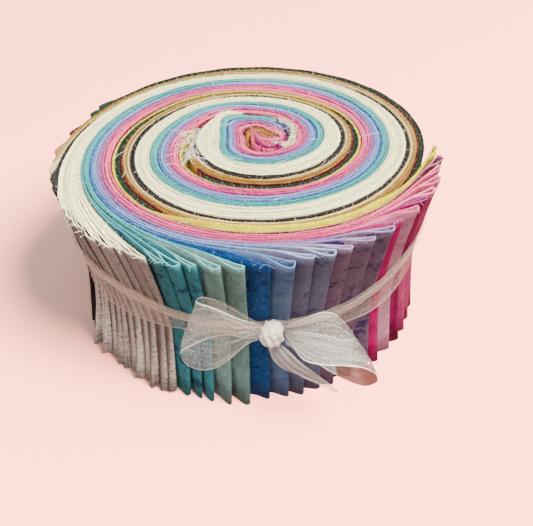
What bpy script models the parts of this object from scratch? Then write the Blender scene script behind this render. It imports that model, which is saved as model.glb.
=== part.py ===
"""A roll of forty folded cotton strips, tied round the waist with a sheer ribbon and a bow.

The strips are folded in half along their length and wound together, anticlockwise seen from
above. The roll stands on its flat end: the origin is on the axis at the table, +Z is up and the
bow faces -Y. Tables are in millimetres and degrees; angles run anticlockwise from +X.
"""
import math

import bmesh
import bpy
from mathutils import Vector

MM = 0.001
SHARP_ANGLE = 35.0

# Strips and roll
STRIP_WIDTH = 63.5
ROLL_HEIGHT = 63.0
SPIRAL_PITCH = 22.9
SPIRAL_RADIUS = 30.2
SPIRAL_ANGLE = 0.0
ROW_GROUPS = 4
RIDGE_PLACES = (0.10, 0.62, 0.86)
RIDGE_HEIGHTS = (0.0, 0.0, -1.5)
ROWS_PER_TURN = ROW_GROUPS * len(RIDGE_PLACES)
COLUMNS = 60
CORE_RADIUS = 5.0
CORE_CENTRE = (-1.0, 0.6, 62.4)
RIM_MARGIN = 0.9

# Hollow beside the core, where the dark strips begin
STEP_RADIUS = 25.5
STEP_HALF_WIDTH = 4.5
STEP_ANGLE = 178.0
STEP_HALF_ANGLE = 42.0
STEP_DEPTH = 4.0

# Loose folded ends
END_THICKNESS = 1.2
GAP = 0.3
LIFT = 1.5
TUCK = 1.9
RAMP = 7.0
END_STEP = 6.0
END_TOP_SPREAD = 0.7

# Ribbon
RIBBON_THICKNESS = 1.0
RIBBON_GAP = 0.45
BAND_COLUMNS = 60
KNOT_CENTRE = (4.1, -67.2, 35.8)
KNOT_HALF = (2.8, 3.6, 4.2)
KNOT_SEGMENTS = 12
KNOT_RINGS = 9
KNOT_PINCH = 0.06
SHEET_ACROSS = 4
SHEET_BETWEEN = 2

# Heights of the edges round the side, and the drawn-in waist
LEVELS = (0.0, 10.0, 20.0, 28.0, 38.0, 50.0)
WAIST_HEIGHT = 28.0
RIM_POWER = 1.2
FOOT_POWER = 1.3

# Outer surface of the roll: angle, radius at the rim, the waist and the foot, and how deep the
# loose ends lie over the wound part.
GIRTH = (
    (-180, 67.0, 62.5, 64.5, 3.0),
    (-165, 69.5, 63.5, 66.0, 3.0),
    (-150, 70.0, 63.5, 66.3, 3.0),
    (-135, 72.0, 62.7, 64.2, 3.0),
    (-120, 71.5, 62.0, 64.5, 3.0),
    (-105, 70.5, 61.5, 64.0, 3.0),
    (-90, 68.0, 60.5, 63.0, 3.0),
    (-75, 66.5, 60.0, 61.6, 3.0),
    (-60, 66.0, 59.5, 61.2, 3.0),
    (-45, 65.0, 59.0, 61.8, 3.0),
    (-30, 64.2, 58.8, 61.8, 3.0),
    (-15, 63.5, 58.7, 61.0, 3.0),
    (0, 61.8, 58.5, 60.4, 3.0),
    (30, 62.2, 58.8, 60.4, 1.6),
    (60, 62.9, 59.4, 60.8, 1.6),
    (90, 63.3, 60.2, 61.4, 1.6),
    (120, 63.0, 60.6, 61.8, 1.6),
    (150, 65.2, 62.0, 63.2, 3.0),
)

# Ribbon round the waist: angle, lower edge, upper edge.
BAND = (
    (-180, 20.0, 30.0),
    (-160, 23.5, 32.3),
    (-150, 26.2, 34.6),
    (-140, 28.2, 36.6),
    (-128, 28.8, 38.0),
    (-114, 29.8, 39.2),
    (-104, 31.0, 38.6),
    (-92, 31.0, 37.6),
    (-82, 29.5, 36.8),
    (-70, 28.4, 37.6),
    (-60, 28.0, 39.0),
    (-45, 27.2, 40.4),
    (-33, 27.8, 41.8),
    (-15, 26.4, 40.0),
    (0, 25.0, 37.5),
    (90, 21.0, 32.0),
)

# Folded ends in the order they are met anticlockwise: colour, how many, angle of the first fold
# and angle of the last.
ENDS = (
    ("white", 12, -149.5, -116.5),
    ("teal", 3, -111.5, -104.0),
    ("mint", 2, -98.5, -93.0),
    ("blue", 1, -87.0, -87.0),
    ("slate", 1, -81.0, -81.0),
    ("periwinkle", 2, -75.5, -70.0),
    ("purple", 3, -64.5, -51.5),
    ("hot_pink", 1, -46.0, -46.0),
    ("rose", 1, -39.8, -39.8),
    ("magenta", 1, -33.0, -33.0),
    ("blush", 3, -27.5, -15.5),
    ("wine", 1, -10.5, -10.5),
    ("yellow", 1, -5.0, -5.0),
    ("green", 2, 154.0, 159.0),
    ("red", 1, 173.0, 173.0),
    ("gold", 1, 185.0, 185.0),
    ("tan", 1, 190.5, 190.5),
    ("cream", 1, 195.0, 195.0),
    ("black", 2, 199.5, 204.0),
)

# Bow pieces: upper edge x, y, z, then lower edge x, y, z, from one end of the ribbon to the other.
LEFT_LOOP = (
    (1.0, -66.6, 39.4, 1.0, -67.6, 35.0),
    (-3.2, -68.0, 44.1, -3.8, -68.9, 36.0),
    (-8.0, -68.3, 48.5, -9.0, -69.2, 37.7),
    (-12.7, -68.4, 51.4, -15.0, -69.8, 36.9),
    (-16.0, -69.4, 53.2, -19.7, -71.4, 35.7),
    (-17.2, -71.4, 53.9, -22.7, -74.2, 36.0),
    (-16.2, -74.0, 55.1, -21.7, -77.4, 35.4),
    (-13.3, -75.8, 55.6, -18.2, -79.0, 34.0),
    (-9.4, -75.8, 53.2, -13.3, -79.2, 34.1),
    (-5.1, -73.6, 48.3, -8.1, -77.6, 36.8),
    (-2.1, -71.6, 45.1, -3.7, -74.4, 38.7),
    (0.8, -69.4, 41.3, 0.7, -70.4, 37.0),
)
RIGHT_LOOP = (
    (7.6, -67.2, 38.5, 7.8, -69.4, 37.8),
    (12.6, -67.2, 41.3, 10.2, -75.0, 37.2),
    (18.2, -66.6, 43.6, 13.1, -79.6, 37.0),
    (22.1, -66.0, 42.7, 17.7, -82.0, 37.7),
    (25.3, -66.0, 39.3, 24.0, -83.4, 38.6),
    (27.6, -66.2, 36.1, 28.8, -83.8, 38.1),
    (28.9, -66.6, 33.9, 32.9, -83.0, 34.6),
    (28.5, -66.4, 32.0, 34.1, -81.4, 29.3),
    (26.4, -66.2, 31.5, 31.5, -79.6, 25.6),
    (22.3, -66.4, 33.1, 25.7, -78.0, 26.6),
    (16.7, -66.8, 35.4, 19.8, -75.6, 29.0),
    (11.9, -67.0, 36.1, 14.0, -72.6, 31.6),
    (8.0, -66.8, 34.8, 8.1, -69.8, 34.0),
)
TAIL = (
    (6.9, -68.2, 31.8, 2.8, -67.8, 30.6),
    (9.3, -70.4, 31.1, 4.2, -69.6, 27.4),
    (12.4, -71.4, 27.7, 7.0, -70.4, 24.2),
    (16.1, -71.6, 23.8, 11.7, -70.0, 20.6),
    (20.8, -70.4, 17.7, 16.8, -69.2, 17.0),
    (25.5, -68.8, 10.5, 24.6, -68.4, 9.3),
)

# Colours as red, green and blue, with the roughness
FINISHES = {
    "roll": (0.86, 0.84, 0.78, 0.9),
    "white": (0.72, 0.67, 0.62, 0.9),
    "teal": (0.02, 0.35, 0.37, 0.85),
    "mint": (0.25, 0.48, 0.42, 0.85),
    "blue": (0.01, 0.13, 0.42, 0.85),
    "slate": (0.13, 0.22, 0.42, 0.85),
    "periwinkle": (0.28, 0.29, 0.52, 0.85),
    "purple": (0.27, 0.19, 0.38, 0.85),
    "hot_pink": (0.62, 0.05, 0.21, 0.85),
    "rose": (0.72, 0.38, 0.46, 0.85),
    "magenta": (0.55, 0.01, 0.18, 0.85),
    "blush": (0.82, 0.5, 0.56, 0.85),
    "wine": (0.38, 0.06, 0.15, 0.85),
    "yellow": (0.8, 0.68, 0.08, 0.85),
    "green": (0.03, 0.11, 0.06, 0.85),
    "red": (0.45, 0.03, 0.03, 0.85),
    "gold": (0.72, 0.42, 0.08, 0.85),
    "tan": (0.6, 0.48, 0.32, 0.85),
    "cream": (0.82, 0.74, 0.55, 0.85),
    "black": (0.015, 0.015, 0.018, 0.85),
    "ribbon": (0.92, 0.9, 0.88, 0.45),
}


def read_round(table, column, angle):
    """Value of a column of a closed table at an angle, eased between the rows."""
    angle = (angle - table[0][0]) % 360.0 + table[0][0]
    for row, following in zip(table, table[1:] + ((table[0][0] + 360.0,) + table[0][1:],)):
        if angle <= following[0]:
            share = (angle - row[0]) / (following[0] - row[0])
            share = share * share * (3.0 - 2.0 * share)
            return row[column] + (following[column] - row[column]) * share
    return table[0][column]


def girth(angle, height):
    """Radius of the outer surface of the ends at an angle and a height."""
    rim = read_round(GIRTH, 1, angle)
    waist = read_round(GIRTH, 2, angle)
    foot = read_round(GIRTH, 3, angle)
    if height >= WAIST_HEIGHT:
        share = (height - WAIST_HEIGHT) / (STRIP_WIDTH - WAIST_HEIGHT)
        return waist + (rim - waist) * share ** RIM_POWER
    share = (WAIST_HEIGHT - height) / WAIST_HEIGHT
    return waist + (foot - waist) * share ** FOOT_POWER


def skin(angle, height):
    """Radius of the wound part, under the loose ends."""
    return girth(angle, height) - read_round(GIRTH, 4, angle)


def polar(radius, angle, height):
    """Point in metres from a radius, an angle and a height in millimetres and degrees."""
    turn = math.radians(angle)
    return Vector((radius * math.cos(turn), radius * math.sin(turn), height)) * MM


def finish_material(name):
    """Principled material for one colour."""
    material = bpy.data.materials.get(name)
    if material:
        return material
    red, green, blue, roughness = FINISHES[name]
    material = bpy.data.materials.new(name)
    material.use_nodes = True
    shader = material.node_tree.nodes["Principled BSDF"]
    shader.inputs["Base Color"].default_value = (red, green, blue, 1.0)
    shader.inputs["Roughness"].default_value = roughness
    shader.inputs["Metallic"].default_value = 0.0
    material.diffuse_color = (red, green, blue, 1.0)
    return material


def make_object(name, points, faces, finish):
    """Closed mesh object with its faces pointing out."""
    shell = bmesh.new()
    corners = [shell.verts.new(point) for point in points]
    for face in faces:
        shell.faces.new([corners[index] for index in face])
    bmesh.ops.recalc_face_normals(shell, faces=shell.faces)
    mesh = bpy.data.meshes.new(name)
    shell.to_mesh(mesh)
    shell.free()
    mesh.materials.append(finish_material(finish))
    mesh.shade_smooth()
    mesh.set_sharp_from_angle(angle=math.radians(SHARP_ANGLE))
    part = bpy.data.objects.new(name, mesh)
    bpy.context.collection.objects.link(part)
    return part


def row_radius(row, column):
    """Radius of a row of the top at a column, wound outwards anticlockwise."""
    group, place = divmod(row, len(RIDGE_PLACES))
    turned = (group + RIDGE_PLACES[place]) / ROW_GROUPS + column / COLUMNS
    return SPIRAL_RADIUS + SPIRAL_PITCH * (turned - SPIRAL_ANGLE / 360.0)


def row_height(row, column):
    """Height of a row of the top, with the hollow where the dark strips begin."""
    height = ROLL_HEIGHT + RIDGE_HEIGHTS[row % len(RIDGE_PLACES)]
    off_radius = abs(row_radius(row, column) - STEP_RADIUS) / STEP_HALF_WIDTH
    off_angle = abs(360.0 * column / COLUMNS - STEP_ANGLE) / STEP_HALF_ANGLE
    return height - STEP_DEPTH * max(0.0, 1.0 - off_radius) * max(0.0, 1.0 - off_angle)


def rows_at(column):
    """Rows of the top between the core and the rim at a column."""
    angle = 360.0 * column / COLUMNS
    limit = skin(angle, ROLL_HEIGHT) - RIM_MARGIN
    reach = math.ceil(ROWS_PER_TURN * limit / SPIRAL_PITCH)
    return [row for row in range(-2 * reach, 2 * reach)
            if CORE_RADIUS <= row_radius(row, column) <= limit]


def make_roll():
    """The wound part: one solid with the spiral of its strips on top and a flat foot."""
    points = []
    grid = {}
    rows = [rows_at(column) for column in range(COLUMNS)]
    for column, inside in enumerate(rows):
        for row in inside:
            grid[row, column] = len(points)
            angle = 360.0 * column / COLUMNS
            points.append(polar(row_radius(row, column), angle, row_height(row, column)))
    wall = []
    for level in LEVELS + (ROLL_HEIGHT,):
        wall.append([len(points) + column for column in range(COLUMNS)])
        for column in range(COLUMNS):
            angle = 360.0 * column / COLUMNS
            points.append(polar(skin(angle, level), angle, level))
    middle = len(points)
    points.append(Vector(CORE_CENTRE) * MM)
    foot = len(points)
    points.append(Vector((0.0, 0.0, 0.0)))
    faces = []
    for column in range(COLUMNS):
        after = (column + 1) % COLUMNS
        jump = ROWS_PER_TURN if after == 0 else 0
        here = [grid[row, column] for row in rows[column]]
        there = [grid[row, after] for row in rows[after]]
        offset = rows[after][0] - jump - rows[column][0]
        faces += stitch(here, there, offset)
        faces.append((middle, here[0], there[0]))
        faces.append((here[-1], wall[-1][column], wall[-1][after]))
        faces.append((here[-1], wall[-1][after], there[-1]))
        for below, above in zip(wall, wall[1:]):
            faces.append((below[column], below[after], above[after], above[column]))
        faces.append((foot, wall[0][after], wall[0][column]))
    return make_object("wound_roll", points, faces, "roll")


def stitch(here, there, offset):
    """Faces between two columns of the top, where rows may begin at the core or end at the rim.

    The offset says which point of the first column the second column's first point follows.
    """
    faces = []
    low = max(0, offset)
    high = min(len(here), len(there) + offset) - 1
    for row in range(low, high):
        faces.append((here[row], here[row + 1], there[row + 1 - offset], there[row - offset]))
    for row in range(low):
        faces.append((here[row], here[row + 1], there[0]))
    for row in range(low - offset):
        faces.append((here[0], there[row + 1], there[row]))
    for row in range(high, len(here) - 1):
        faces.append((here[row], here[row + 1], there[-1]))
    for row in range(high - offset, len(there) - 1):
        faces.append((here[-1], there[row + 1], there[row]))
    return faces


def end_list():
    """Every folded end: name, colour, angle of the fold before it and of its own fold."""
    rows = []
    for colour, count, first, last in ENDS:
        for number in range(count):
            share = number / (count - 1) if count > 1 else 0.0
            rows.append((f"{colour}_end_{number + 1}", colour, first + (last - first) * share))
    listed = []
    for number, (name, colour, angle) in enumerate(rows):
        before = rows[number - 1][2]
        if number == 0:
            before -= 360.0
        listed.append((name, colour, before, angle))
    return listed


def end_lift(angle, before, tip):
    """How far a loose end stands off the wound part, growing towards its fold."""
    begin = max(before, tip - TUCK - RAMP)
    share = (angle - begin) / (tip - TUCK - begin)
    return LIFT * min(1.0, max(0.0, share))


def make_end(name, colour, before, tip, top):
    """One folded end: a thick sheet from under the fold before it to its own fold."""
    begin = before - TUCK
    ramp_begin = max(before, tip - TUCK - RAMP)
    angles = [begin, before]
    steps = max(1, math.ceil((ramp_begin - before) / END_STEP))
    angles += [before + (ramp_begin - before) * step / steps for step in range(1, steps + 1)]
    angles += [(ramp_begin + tip - TUCK) / 2.0, tip - TUCK, tip]
    angles = [angle for angle, previous in zip(angles, [None] + angles) if angle != previous]
    levels = LEVELS + (top,)
    points = []
    for outward in (0.0, END_THICKNESS):
        for angle in angles:
            for level in levels:
                stand = GAP + end_lift(angle, before, tip) + outward
                points.append(polar(skin(angle, min(level, STRIP_WIDTH)) + stand, angle, level))
    return make_object(name, points, slab_faces(len(angles), len(levels)), colour)


def slab_faces(columns, rows):
    """Faces of a closed slab given as an inner grid of points followed by an outer one."""
    layer = columns * rows
    faces = []
    for column in range(columns - 1):
        for row in range(rows - 1):
            a = column * rows + row
            b, c, d = a + rows, a + rows + 1, a + 1
            faces.append((a, d, c, b))
            faces.append((a + layer, b + layer, c + layer, d + layer))
    border = [column * rows for column in range(columns)]
    border += [(columns - 1) * rows + row for row in range(1, rows)]
    border += [column * rows + rows - 1 for column in range(columns - 2, -1, -1)]
    border += [row for row in range(rows - 2, 0, -1)]
    for a, b in zip(border, border[1:] + border[:1]):
        faces.append((a, b, b + layer, a + layer))
    return faces


def make_band():
    """Ribbon round the waist, a closed ring that rests on the folded ends."""
    points = []
    for outward in (0.0, RIBBON_THICKNESS):
        for column in range(BAND_COLUMNS):
            angle = 360.0 * column / BAND_COLUMNS
            low = read_round(BAND, 1, angle)
            high = read_round(BAND, 2, angle)
            for share in (0.0, 0.5, 1.0):
                height = low + (high - low) * share
                radius = girth(angle, height) + RIBBON_GAP + outward
                points.append(polar(radius, angle, height))
    faces = []
    layer = BAND_COLUMNS * 3
    for column in range(BAND_COLUMNS):
        a = column * 3
        b = (column + 1) % BAND_COLUMNS * 3
        for row in (0, 1):
            faces.append((a + row, b + row, b + row + 1, a + row + 1))
            faces.append((a + row + layer, a + row + 1 + layer,
                          b + row + 1 + layer, b + row + layer))
        faces.append((a, a + layer, b + layer, b))
        faces.append((a + 2, b + 2, b + 2 + layer, a + 2 + layer))
    return make_object("ribbon_band", points, faces, "ribbon")


def make_knot():
    """The drawn-up knot, a small lump with a pinched middle turn."""
    shell = bmesh.new()
    bmesh.ops.create_uvsphere(shell, u_segments=KNOT_SEGMENTS, v_segments=KNOT_RINGS, radius=1.0)
    for corner in shell.verts:
        x, y, z = corner.co
        pinch = 1.0 - KNOT_PINCH * (1.0 + math.sin(5.0 * z + 2.0 * x))
        corner.co = Vector((x * KNOT_HALF[0] * pinch,
                            y * KNOT_HALF[1] * pinch,
                            z * KNOT_HALF[2])) * MM
        corner.co += Vector(KNOT_CENTRE) * MM
    bmesh.ops.recalc_face_normals(shell, faces=shell.faces)
    mesh = bpy.data.meshes.new("ribbon_knot")
    shell.to_mesh(mesh)
    shell.free()
    mesh.materials.append(finish_material("ribbon"))
    mesh.shade_smooth()
    part = bpy.data.objects.new("ribbon_knot", mesh)
    bpy.context.collection.objects.link(part)
    return part


def smooth_rows(table, between):
    """Rows of a table with smooth ones added between them (a Catmull-Rom curve)."""
    rows = []
    last = len(table) - 1
    for number in range(last):
        p0 = table[max(0, number - 1)]
        p1, p2 = table[number], table[number + 1]
        p3 = table[min(last, number + 2)]
        for step in range(between):
            t = step / between
            rows.append([0.5 * (2 * b + (c - a) * t + (2 * a - 5 * b + 4 * c - d) * t * t
                                + (3 * b - a - 3 * c + d) * t ** 3)
                         for a, b, c, d in zip(p0, p1, p2, p3)])
    rows.append(list(table[last]))
    return rows


def make_ribbon(name, table):
    """A length of ribbon lofted between its two edges, as thick as the work allows."""
    rows = smooth_rows(table, SHEET_BETWEEN)
    across = SHEET_ACROSS + 1
    centre = []
    for row in rows:
        upper, lower = Vector(row[:3]), Vector(row[3:])
        centre.append([lower.lerp(upper, share / SHEET_ACROSS) for share in range(across)])
    points = []
    for side in (-0.5, 0.5):
        for number, line in enumerate(centre):
            before = centre[max(0, number - 1)]
            following = centre[min(len(centre) - 1, number + 1)]
            for place, point in enumerate(line):
                along = following[place] - before[place]
                over = line[min(across - 1, place + 1)] - line[max(0, place - 1)]
                normal = along.cross(over).normalized()
                points.append((point + normal * side * RIBBON_THICKNESS) * MM)
    return make_object(name, points, slab_faces(len(centre), across), "ribbon")


def main():
    """Clear the scene and make every piece."""
    for item in list(bpy.data.objects):
        bpy.data.objects.remove(item, do_unlink=True)
    make_roll()
    for number, (name, colour, before, tip) in enumerate(end_list()):
        top = STRIP_WIDTH + END_TOP_SPREAD * math.sin(2.4 * number)
        make_end(name, colour, before, tip, top)
    make_band()
    make_knot()
    make_ribbon("bow_loop_left", LEFT_LOOP)
    make_ribbon("bow_loop_right", RIGHT_LOOP)
    make_ribbon("bow_tail", TAIL)


main()
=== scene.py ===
"""Looks of a roll of forty folded cotton strips, tied with a sheer ribbon and a bow.

The strips are wound anticlockwise outwards, seen from above. Tables are in millimetres and
degrees; angles run anticlockwise from +X and go on past a full turn along the winding.
"""
import logging
import math
from dataclasses import dataclass, field
from enum import Enum
from typing import Iterator, Optional, Sequence

import bmesh
import bpy
import numpy as np
from mathutils import Matrix, Vector, noise


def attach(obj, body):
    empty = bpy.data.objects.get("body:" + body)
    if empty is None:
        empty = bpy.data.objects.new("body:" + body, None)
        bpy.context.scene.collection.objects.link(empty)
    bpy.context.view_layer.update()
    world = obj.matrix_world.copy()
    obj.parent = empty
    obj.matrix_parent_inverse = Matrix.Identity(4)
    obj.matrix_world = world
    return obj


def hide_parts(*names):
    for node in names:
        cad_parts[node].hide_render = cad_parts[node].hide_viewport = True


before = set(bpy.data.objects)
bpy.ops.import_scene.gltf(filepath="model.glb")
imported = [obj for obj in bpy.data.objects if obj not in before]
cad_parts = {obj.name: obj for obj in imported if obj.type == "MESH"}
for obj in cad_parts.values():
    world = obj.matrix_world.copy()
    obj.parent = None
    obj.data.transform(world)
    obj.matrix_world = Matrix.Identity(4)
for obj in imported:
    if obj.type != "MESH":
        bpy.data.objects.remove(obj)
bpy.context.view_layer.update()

LOG = logging.getLogger("fabric_strip_roll")

MM = 0.001
STRIP_WIDTH = 63.5
STRIP_LENGTH = 1118.0
WAIST_HEIGHT = 28.0
RIM_CURVE = 1.2
FOOT_CURVE = 1.3
STRIP_COUNT = 40
RIBBON_WIDTH = 22.0
GRID_STEP = 0.25
GRID_START = -1090.0
GRID_END = 206.0
FULL_TURN = 360.0
TURN_STEPS = int(FULL_TURN / GRID_STEP)
LAST_TURN = -156.0
KNOT_ANGLE = -87.0
KNOT_HEIGHT = 35.2

Colour = tuple[float, float, float]


class Print(Enum):
    """How the cloth of a strip is printed."""

    PLAIN = "plain"
    SPECKLED = "speckled"
    CLOUDED = "clouded"
    SPRIGGED = "sprigged"


# Outer surface: angle, radius at the rim, the waist and the foot.
GIRTH = (
    (-180, 67.0, 62.5, 64.5), (-165, 69.5, 63.5, 66.0), (-150, 70.0, 63.5, 66.3),
    (-135, 72.0, 62.7, 64.2), (-120, 71.5, 62.0, 64.5), (-105, 70.5, 61.5, 64.4),
    (-96, 69.2, 60.9, 65.2), (-87, 68.2, 60.4, 62.2), (-75, 66.5, 60.0, 61.8),
    (-60, 66.0, 59.5, 61.2), (-45, 65.0, 59.0, 61.8), (-30, 64.2, 58.8, 61.8),
    (-15, 63.5, 58.7, 61.0), (0, 61.8, 58.5, 60.4), (30, 62.2, 58.8, 60.4),
    (60, 62.9, 59.4, 60.8), (90, 63.3, 60.2, 61.4), (120, 63.0, 60.6, 61.8),
    (150, 65.2, 62.0, 63.2),
)

# The winding at the top: angle along the winding, radius where the black strips lie, where the
# dark group ends, and where the white group begins.
WINDING = (
    (-1080, 6.5, 7.0, 12.0), (-1050, 9.8, 10.2, 15.0), (-1020, 9.8, 10.2, 18.8),
    (-990, 11.8, 12.3, 19.9), (-960, 8.4, 8.7, 22.3), (-945, 4.3, 4.5, 17.5),
    (-930, 3.2, 3.4, 14.2), (-900, 3.0, 3.2, 12.3), (-870, 3.0, 3.2, 13.3),
    (-840, 3.8, 4.0, 14.4), (-810, 5.0, 5.3, 15.2), (-780, 6.9, 7.2, 16.9),
    (-750, 9.8, 10.2, 19.9), (-720, 13.5, 14.0, 24.2), (-690, 16.5, 17.0, 28.0),
    (-660, 20.0, 20.6, 30.1), (-630, 21.8, 22.5, 31.4), (-600, 24.8, 25.2, 33.3),
    (-585, 23.0, 24.8, 33.5), (-570, 21.5, 24.4, 33.7), (-540, 20.3, 25.4, 35.7),
    (-510, 19.6, 27.8, 38.3), (-480, 20.6, 28.6, 39.2), (-450, 22.0, 29.4, 40.2),
    (-420, 23.9, 31.6, 41.4), (-390, 26.6, 34.1, 44.7), (-360, 30.1, 37.4, 47.4),
    (-330, 32.8, 39.4, 50.0), (-300, 34.1, 40.2, 52.1), (-270, 35.3, 42.2, 52.4),
    (-240, 36.8, 44.3, 53.8), (-210, 37.9, 45.6, 55.0), (-180, 40.4, 48.3, 57.9),
    (-150, 43.3, 50.8, 61.6), (-120, 45.4, 51.9, 63.7), (-90, 46.3, 53.0, 64.8),
    (-60, 48.0, 55.3, 67.1), (-30, 50.1, 57.0, 68.8), (0, 53.0, 60.2, 72.0),
    (30, 54.7, 62.6, 74.4), (60, 55.6, 63.4, 75.2), (90, 56.2, 64.1, 75.9),
    (120, 57.5, 63.5, 75.3), (150, 59.4, 64.1, 75.9), (180, 63.5, 68.9, 80.7),
    (210, 69.0, 74.6, 86.4), (240, 71.0, 77.0, 88.0),
)
# Shares of the layers that lie inside the end of the dark group and the start of the white one.
DARK_SHARE = 0.225
PALE_SHARE = 0.7

# Folded ends: colour, how many, angle of the first fold and of the last, how wide the fold
# stands open at the rim and at the foot, how many degrees back from its fold a strip leaves the
# winding, how far its lower corner may lift, and how far it stands out at the foot.
ENDS = (
    ("white", 12, -149.5, -116.5, 0.7, 3.1, 15.0, 1.5, 2.0),
    ("teal", 3, -111.5, -104.0, 1.8, 0.7, 11.0, 0.6, 3.6),
    ("mint", 2, -98.5, -93.0, 1.9, 0.7, 9.5, 0.4, 4.2),
    ("blue", 1, -87.0, -87.0, 1.2, 0.6, 8.0, 0.3, 2.8),
    ("slate", 1, -81.0, -81.0, 2.6, 0.6, 8.0, 0.3, 2.2),
    ("periwinkle", 2, -76.0, -70.5, 2.3, 0.8, 8.0, 0.5, 2.0),
    ("purple", 3, -65.5, -51.5, 1.7, 0.8, 8.0, 0.5, 2.2),
    ("hot_pink", 1, -47.0, -47.0, 1.6, 0.8, 7.5, 0.4, 2.4),
    ("rose", 1, -40.0, -40.0, 1.5, 0.8, 7.5, 0.4, 2.2),
    ("magenta", 1, -34.0, -34.0, 1.7, 0.8, 7.5, 0.4, 2.2),
    ("blush", 3, -28.5, -15.5, 2.1, 0.8, 8.0, 0.6, 1.8),
    ("wine", 1, -10.5, -10.5, 1.9, 0.8, 8.0, 0.4, 1.4),
    ("yellow", 1, -5.0, -5.0, 2.2, 1.0, 9.0, 0.4, 1.2),
    ("green", 2, 154.0, 159.0, 1.4, 1.0, 9.0, 0.4, 1.2),
    ("red", 1, 173.0, 173.0, 1.2, 1.0, 9.0, 0.4, 1.2),
    ("gold", 1, 185.0, 185.0, 1.2, 1.0, 9.0, 0.4, 1.2),
    ("tan", 1, 190.5, 190.5, 1.2, 1.0, 9.0, 0.4, 1.2),
    ("cream", 1, 195.0, 195.0, 1.2, 1.0, 9.0, 0.4, 1.2),
    ("black", 2, 199.5, 204.0, 1.2, 1.0, 9.0, 0.4, 1.2),
)

# How far an upper edge stands above the others: colour, in the inner turns, and at the front of
# the last turn.
EDGE_HEIGHTS = {"black": (0.3, 0.2), "cream": (-0.1, -0.25), "tan": (-0.2, -0.35),
                "gold": (0.0, -0.5), "red": (-0.25, -2.9), "green": (-0.7, -2.9),
                "yellow": (-0.9, 0.7), "wine": (-0.6, 0.1)}

# Small waves of the upper edges: height, how many radians of wave go to one along the winding,
# and shift from strip to strip.
EDGE_WAVES = ((0.16, 1.3, 2.1), (0.1, 4.7, 1.3), (0.09, 23.0, 3.9))

# How much shade is painted into the faces under the rim, by colour, and into the gaps of the white
# folds.
PAINTED_RIM_SHADE = {"white": 0.46, "purple": 0.12, "hot_pink": 0.22, "rose": 0.36, "magenta": 0.3,
             "blush": 0.25, "wine": 0.2, "teal": 0.1}
PAINTED_GAP_SHADE = {"white": 0.85}

# Where the strips from white to purple begin beside the core.
PALE_STARTS = {"white": -974.0, "teal": -1013.0, "mint": -1016.0, "blue": -1022.0,
               "slate": -1024.0, "periwinkle": -1030.0, "purple": -1036.0}

# Where the dark strips begin, round the ragged step beside the core.
DARK_STARTS = {"black": -575.0, "cream": -545.0, "tan": -540.0, "gold": -520.0, "red": -500.0,
               "green": -492.0, "yellow": -568.0}

# Beginnings of strips folded into the core: name, colour, how far the top sinks, then x and y.
CORE_FOLDS = (
    ("core_fold_gold", "gold", 0.5,
     ((-1.9, -1.6), (-2.6, 1.8), (-2.8, 5.2), (-2.2, 8.8), (-0.6, 11.2), (1.2, 11.6),
      (3.6, 10.2), (5.6, 8.2), (7.0, 6.6), (6.2, 5.9), (4.6, 6.6), (2.8, 8.6))),
    ("core_fold_squiggle", "blush", 0.3,
     ((-0.9, 10.2), (-0.3, 8.4), (-1.0, 6.6), (-0.3, 4.6), (-0.9, 2.8), (-0.2, 0.8),
      (0.3, -1.0), (1.2, -2.5), (2.1, -2.2), (1.8, -1.3))),
    ("core_fold_pale", "rose", 0.4,
     ((0.7, 9.8), (1.3, 7.8), (2.2, 6.1), (3.6, 5.0), (6.0, 4.7), (8.4, 4.9), (9.4, 6.4))),
    ("core_fold_white", "rose", 0.7,
     ((3.3, 3.6), (2.5, 2.4), (2.8, 0.6), (4.0, -0.3), (5.3, 0.6), (5.4, 2.3), (4.4, 3.3),
      (3.6, 2.2), (4.3, 1.1))),
    ("core_fold_hook", "hot_pink", 0.1,
     ((5.4, 12.6), (8.2, 10.0), (10.3, 7.2), (11.1, 4.4), (10.7, 2.0), (9.2, 0.9),
      (7.4, 1.5), (7.0, 2.6))),
    ("core_fold_magenta", "magenta", 0.4,
     ((0.9, 1.9), (1.5, 0.2), (3.2, -1.6), (5.2, -2.4), (7.4, -2.6), (9.6, -1.7))),
    ("core_fold_salmon", "blush", 0.5,
     ((3.0, -2.9), (3.6, -4.3), (5.0, -5.2), (6.4, -4.8), (6.2, -3.7), (4.8, -3.6), (4.4, -4.3))),
    ("core_fold_tangle_1", "white", -0.1,
     ((7.0, -0.9), (9.2, -0.1), (10.8, -0.5), (12.4, 1.4), (12.6, 3.6), (13.9, 5.8),
      (13.6, 8.4), (14.3, 10.4), (13.3, 12.8), (12.0, 14.4), (11.2, 16.6), (8.9, 18.2))),
    ("core_fold_tangle_2", "white", 0.3,
     ((10.2, -2.6), (12.2, -0.6), (13.9, 2.0), (14.3, 4.6), (15.2, 7.0), (14.9, 9.4),
      (15.4, 11.4), (14.0, 13.8), (12.8, 16.0), (11.4, 17.6))),
    ("core_fold_tangle_3", "periwinkle", 0.9,
     ((8.8, -3.8), (11.4, -1.8), (12.9, 0.4), (13.2, 4.6), (14.5, 6.6), (14.2, 9.6),
      (13.9, 11.8), (12.6, 13.6), (10.2, 15.6), (7.4, 17.2))),
    ("core_fold_under_1", "wine", 1.8,
     ((0.3, 6.6), (0.7, 4.4), (1.8, 3.6), (1.5, 1.8), (2.0, 0.7), (3.4, -0.9), (5.6, -1.3),
      (7.2, -1.5))),
    ("core_fold_under_2", "rose", 2.2,
     ((3.4, 7.0), (5.4, 5.6), (7.8, 5.9), (8.9, 4.0), (8.0, 2.9), (6.3, 3.5), (6.2, 1.4),
      (7.6, 0.2), (6.4, -0.7))),
    ("core_fold_under_3", "purple", 1.6,
     ((1.2, 10.4), (3.4, 12.2), (6.2, 10.2), (8.4, 8.0), (9.8, 5.4), (9.7, 3.2), (8.6, 2.0))),
)

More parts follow.
